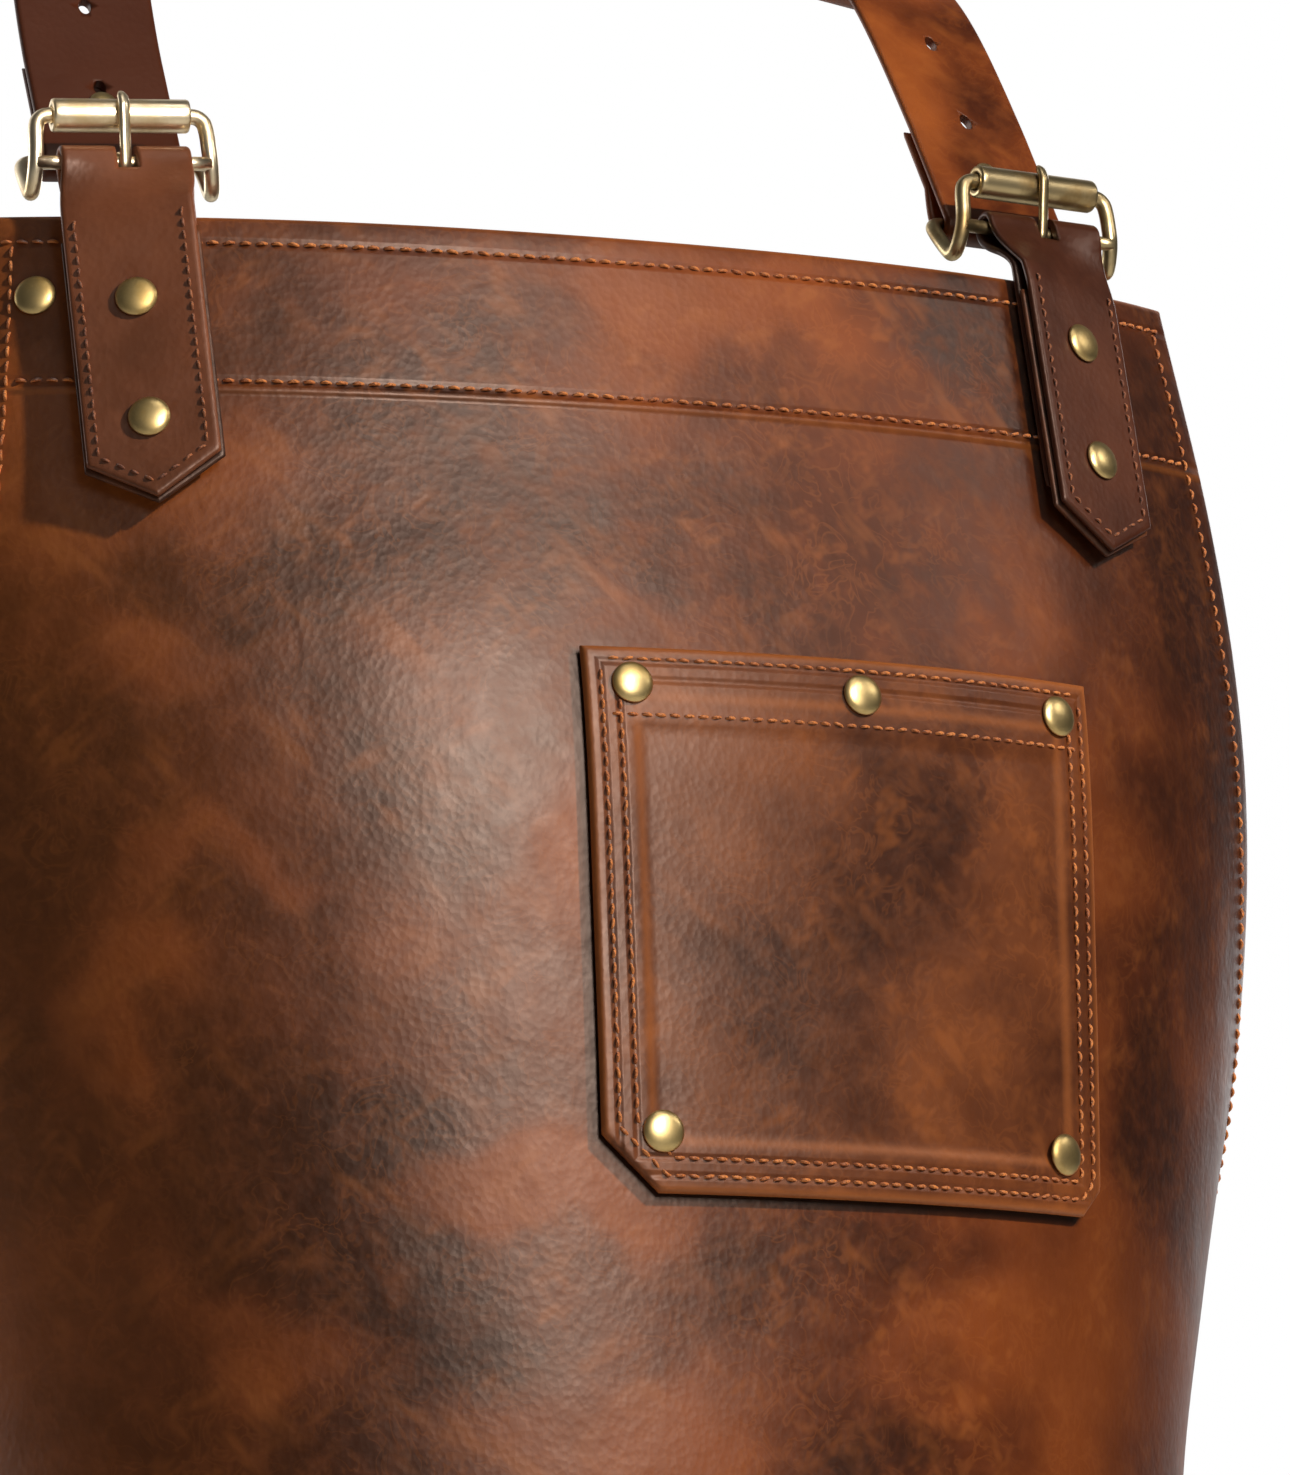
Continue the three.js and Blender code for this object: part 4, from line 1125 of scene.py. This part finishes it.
# Strap
def strap_half(tab):
    """Half of the neck strap, from its turned-back end to the nape: line, sides and hole cutters."""
    hand = tab["hand"]
    m = turned_place(place_on(tab["across"], 0), hand)
    axis = m[:3, 0]
    bar = m[:3, :3] @ np.array([-hand * tab["inset"], REAR_UP, REAR_OUT - BAR_OUT]) + m[:3, 3]
    rise_line = np.array([-hand * CLIMB_INWARD, CLIMB_BACK, 1.0])
    climb = unit(rise_line - axis * np.dot(rise_line, axis))
    face = unit(np.cross(axis, climb))
    across = -axis

    def by(up, out):
        return bar + climb * up + face * out

    loop = FRAME_RADIUS + SEAT_GAP + STRAP_THICKNESS / 2
    behind = loop - STRAP_THICKNESS - 2 * SEAT_GAP
    slope = math.radians(SHOULDER_SLOPE)
    start = by(STRAP_TAIL, loop)
    crest_side = np.array([-math.cos(slope), 0, hand * math.sin(slope)])

    def crest(y, z=STRAP_THICKNESS / 2):
        return np.array([hand * SHOULDER_HALF, y, z])

    def held(side, points):
        return np.repeat(side[None], len(points), 0)

    reach = np.linalg.norm(crest(-SHOULDER_REST / 2) - start)
    rise = bezier(start, start + unit(rise_line) * 0.5 * reach,
                  crest(-SHOULDER_REST / 2 - 0.33 * reach), crest(-SHOULDER_REST / 2), 48)
    fade = np.linspace(0, 1, 49)[:, None]
    rise_sides = unit(across * (1 - fade) + crest_side * fade)
    tail = [by(u * STRAP_TAIL, behind) for u in (1, 0.97, 0.85, 0.7, 0.55, 0.4)]
    under = [by(0.4 * STRAP_TAIL, behind), by(0.2 * STRAP_TAIL, -0.6 * loop), by(0, -loop)]
    under = smooth_loop(under, False, 5)[1:-1]
    turn = [by(-loop * math.sin(t), loop * math.cos(t)) for t in np.linspace(math.pi, 0, 19)]
    climbing = [by(u * STRAP_TAIL, loop) for u in np.linspace(0, 1, 14)[1:-1]]
    first = np.array(tail + list(under) + turn + climbing)
    rest = np.linspace(crest(-SHOULDER_REST / 2), crest(SHOULDER_REST / 2), 12)[1:-1]
    nape = bezier(
        crest(SHOULDER_REST / 2),
        crest(SHOULDER_REST / 2 + NAPE_EASE * NAPE_BACK, NAPE_EASE * NAPE_UP),
        (hand * NAPE_EASE * SHOULDER_HALF, NAPE_BACK, NAPE_UP), (0, NAPE_BACK, NAPE_UP), 60)
    t = np.linspace(0, 1, 61)
    angle = slope + (math.pi / 2 - slope) * t
    lean = -hand * math.tan(math.radians(NAPE_TILT)) * t
    nape_sides = unit(np.stack([-np.cos(angle), lean, hand * np.sin(angle)], -1))
    line = np.concatenate([first, rise, rest, nape])
    sides = np.concatenate([held(across, first), rise_sides, held(crest_side, rest), nape_sides])

    up_front = np.concatenate([[by(0, loop)], rise])
    run = down_line(up_front)
    tools = []
    for i in range(HOLE_COUNT):
        at = tab["hole"] + i * HOLE_PITCH
        p, q = (np.array([np.interp(d, run, up_front[:, j]) for j in range(3)]) for d in (at, at + 0.5))
        up = unit(q - p)
        normal = unit(np.cross(axis, up))
        place = posed(np.cross(up, normal), up, normal, p)
        tools.append(cutter((HOLE_WIDTH, HOLE_LENGTH, 5 * STRAP_THICKNESS), place, "cylinder"))
    return line, sides, tools


def strap():
    half = STRAP_WIDTH / 2
    (line, sides, tools), (far_line, far_sides, far_tools) = (strap_half(tab) for tab in TABS)
    line = np.concatenate([line, far_line[-2::-1]])
    sides = np.concatenate([sides, -far_sides[-2::-1]])
    gone = down_line(line)
    end = np.minimum(gone, gone[-1] - gone)[:, None] + 0.03

    def lift(x):
        return STRAP_THICKNESS / 2 * rounding(np.minimum(half - np.abs(x), end), STRAP_THICKNESS / 2)

    grid = strip_grid(line, sides, np.full(len(line), half), shares(half, STRAP_COLUMN), lift)
    obj = strip_piece("leather_strap", grid, gone, STRAP_LOOK)
    cut_with(obj, tools + far_tools)
    done(obj, "strap_leather", "neck_strap")


# Rivets
def rivet(node):
    """Smooth rivet in the place of a CAD one: axis and radii are read from its vertices."""
    mesh = NODES[node].data
    co = np.empty(len(mesh.vertices) * 3)
    mesh.vertices.foreach_get("co", co)
    co = np.unique(np.round(co.reshape(-1, 3) / MM, 4), axis=0)
    centre = (co.max(0) + co.min(0)) / 2
    values, vectors = np.linalg.eigh(np.cov((co - co.mean(0)).T))
    lone = 0 if values[1] - values[0] > values[2] - values[1] else 2
    axis = vectors[:, lone]
    along = (co - centre) @ axis
    radial = co - centre
    radial = radial - np.outer(radial @ axis, axis)
    ends = [radial[np.abs(along - end) < 0.02].mean(0) for end in (along.min(), along.max())]
    centre = centre + (ends[0] + ends[1]) / 2
    r = np.linalg.norm((co - centre) - np.outer((co - centre) @ axis, axis), axis=1)
    along = (co - centre) @ axis
    middle = np.median([along.min(), along.max()])
    washer, cap = r[along < middle].max(), r[along > middle].max()
    if washer > cap:
        axis, along = -axis, -along
        washer, cap = cap, washer
    top, bottom = along.max(), along.min()
    scale = cap / CAP_RADIUS
    dome = CAP_HEIGHT * scale
    rim, shelf = top - dome, bottom + WASHER_HEIGHT
    helper = np.array([0, 0, 1.0]) if abs(axis[2]) < 0.9 else np.array([1.0, 0, 0])
    side = unit(np.cross(helper, axis))
    m = posed(side, np.cross(axis, side), axis, centre)
    profile = [(0.01, bottom), (washer - 0.3, bottom), (washer, bottom + 0.3), (washer, bottom + 0.7)]
    profile += [(washer - 0.2, shelf), (SHANK_RADIUS, shelf), (SHANK_RADIUS, rim - 0.02)]
    profile += [(cap - 0.35, rim), (cap, rim + 0.12), (cap, rim + 0.4), (cap - 0.12, rim + 0.62 * scale)]
    edge = 0.35 * scale
    for t in np.radians(np.linspace(18, 88, 9)):
        profile.append(((cap - 0.15) * math.cos(t), rim + edge + (dome - edge) * math.sin(t)))
    profile.append((0.01, top))
    done(lathe("cap_" + node, profile, m, BRASS_RIVET, 36), "brass", node)


# Build
hide = body()
body_thread()
pocket()
pocket_thread()
for tab in TABS:
    tab_piece(tab)
    buckle(tab)
strap()
for node in sorted(n for n in NODES if n.startswith("rivet_")):
    rivet(node)

# Camera at the photo's angle
CAMERA_AWAY = 2309
CAMERA_AIM = np.array([-5.12 + CHEST_ASIDE, -CHEST_FORWARD, -127.9 - BIB_DROP])
FOCAL_PIXELS = 9201.7
PHOTO_HEIGHT = 1475
theta, eps, roll = (math.radians(angle) for angle in (23.28, 8.478, -0.33))
ahead = np.array([math.sin(theta) * math.cos(eps), math.cos(theta) * math.cos(eps), math.sin(eps)])
level = np.array([math.cos(theta), -math.sin(theta), 0])
plumb = np.cross(level, ahead)
right = level * math.cos(roll) + plumb * math.sin(roll)
upward = plumb * math.cos(roll) - level * math.sin(roll)
eye = CAMERA_AIM - CAMERA_AWAY * ahead
camera = bpy.data.objects.new("camera", bpy.data.cameras.new("camera"))
bpy.context.scene.collection.objects.link(camera)
camera.data.sensor_width = 36
camera.data.lens = camera.data.sensor_width * FOCAL_PIXELS / PHOTO_HEIGHT
camera.data.clip_start, camera.data.clip_end = 0.05, 100
camera.matrix_world = Matrix(posed(right, upward, -ahead, eye * MM).tolist())
bpy.context.scene.camera = camera


# Light, floor and ground
CHEST = np.array([0.0, -0.17, -0.3])


def area(name, azimuth, elevation, distance, size, power, colour=(1, 1, 1)):
    """Light towards azimuth (0 in front, 90 on the wearer's left) and elevation, turned to the chest."""
    a, e = math.radians(azimuth), math.radians(elevation)
    way = np.array([math.sin(a) * math.cos(e), -math.cos(a) * math.cos(e), math.sin(e)])
    light = bpy.data.lights.new(name, "AREA")
    light.shape = "RECTANGLE"
    light.size, light.size_y = size
    light.energy = power
    light.color = colour
    obj = bpy.data.objects.new(name, light)
    bpy.context.scene.collection.objects.link(obj)
    obj.location = CHEST + way * distance
    obj.rotation_euler = Vector(-way).to_track_quat("-Z", "Y").to_euler()
    return obj


for name, az, el, size, watts in (
    ("sheen_low", 0, 23, (0.5, 0.95), 62),
    ("sheen_high", 18, 42, (0.6, 0.3), 12),
    ("spark", 62, 34, (0.5, 0.5), 6),
    ("overhead", 0, 70, (0.9, 0.4), 4),
):
    light = area(name, az, el, 2.3, size, watts, (1, 0.96, 0.92))
    light.visible_diffuse = False
key = area("key", 40, 38, 2.9, (0.1, 0.1), 84, (1, 0.93, 0.82))
key.visible_glossy = False
area("rear_rim", 140, 15, 2.6, (1.0, 1.0), 8)
area("rear_rim_left", -140, 10, 2.6, (1.0, 1.0), 12)

# White towards +Y, behind the apron, and dark elsewhere
world = bpy.data.worlds.new("room")
bpy.context.scene.world = world
n = Nodes(world, "OutputWorld", "Background")
towards_rear = n.apart(n.coords["Generated"])["Y"]
n.set(Color=(1, 1, 1, 1), Strength=n.span(towards_rear, 0.3, 0.86, 0.05, 1.0))

FLOOR_SIZE = 24
FLOOR_AT = -1.42
n = Nodes(bpy.data.materials.new("pale_floor"))
n.set(Base_Color=(0.82, 0.82, 0.81, 1), Roughness=0.8)
bpy.ops.mesh.primitive_plane_add(size=FLOOR_SIZE, location=(0, 0, FLOOR_AT))
floor = bpy.context.object
floor.name = "floor"
floor.data.materials.append(n.holder)

scene = bpy.context.scene
scene.view_settings.view_transform = "Standard"
scene.view_settings.look = "None"
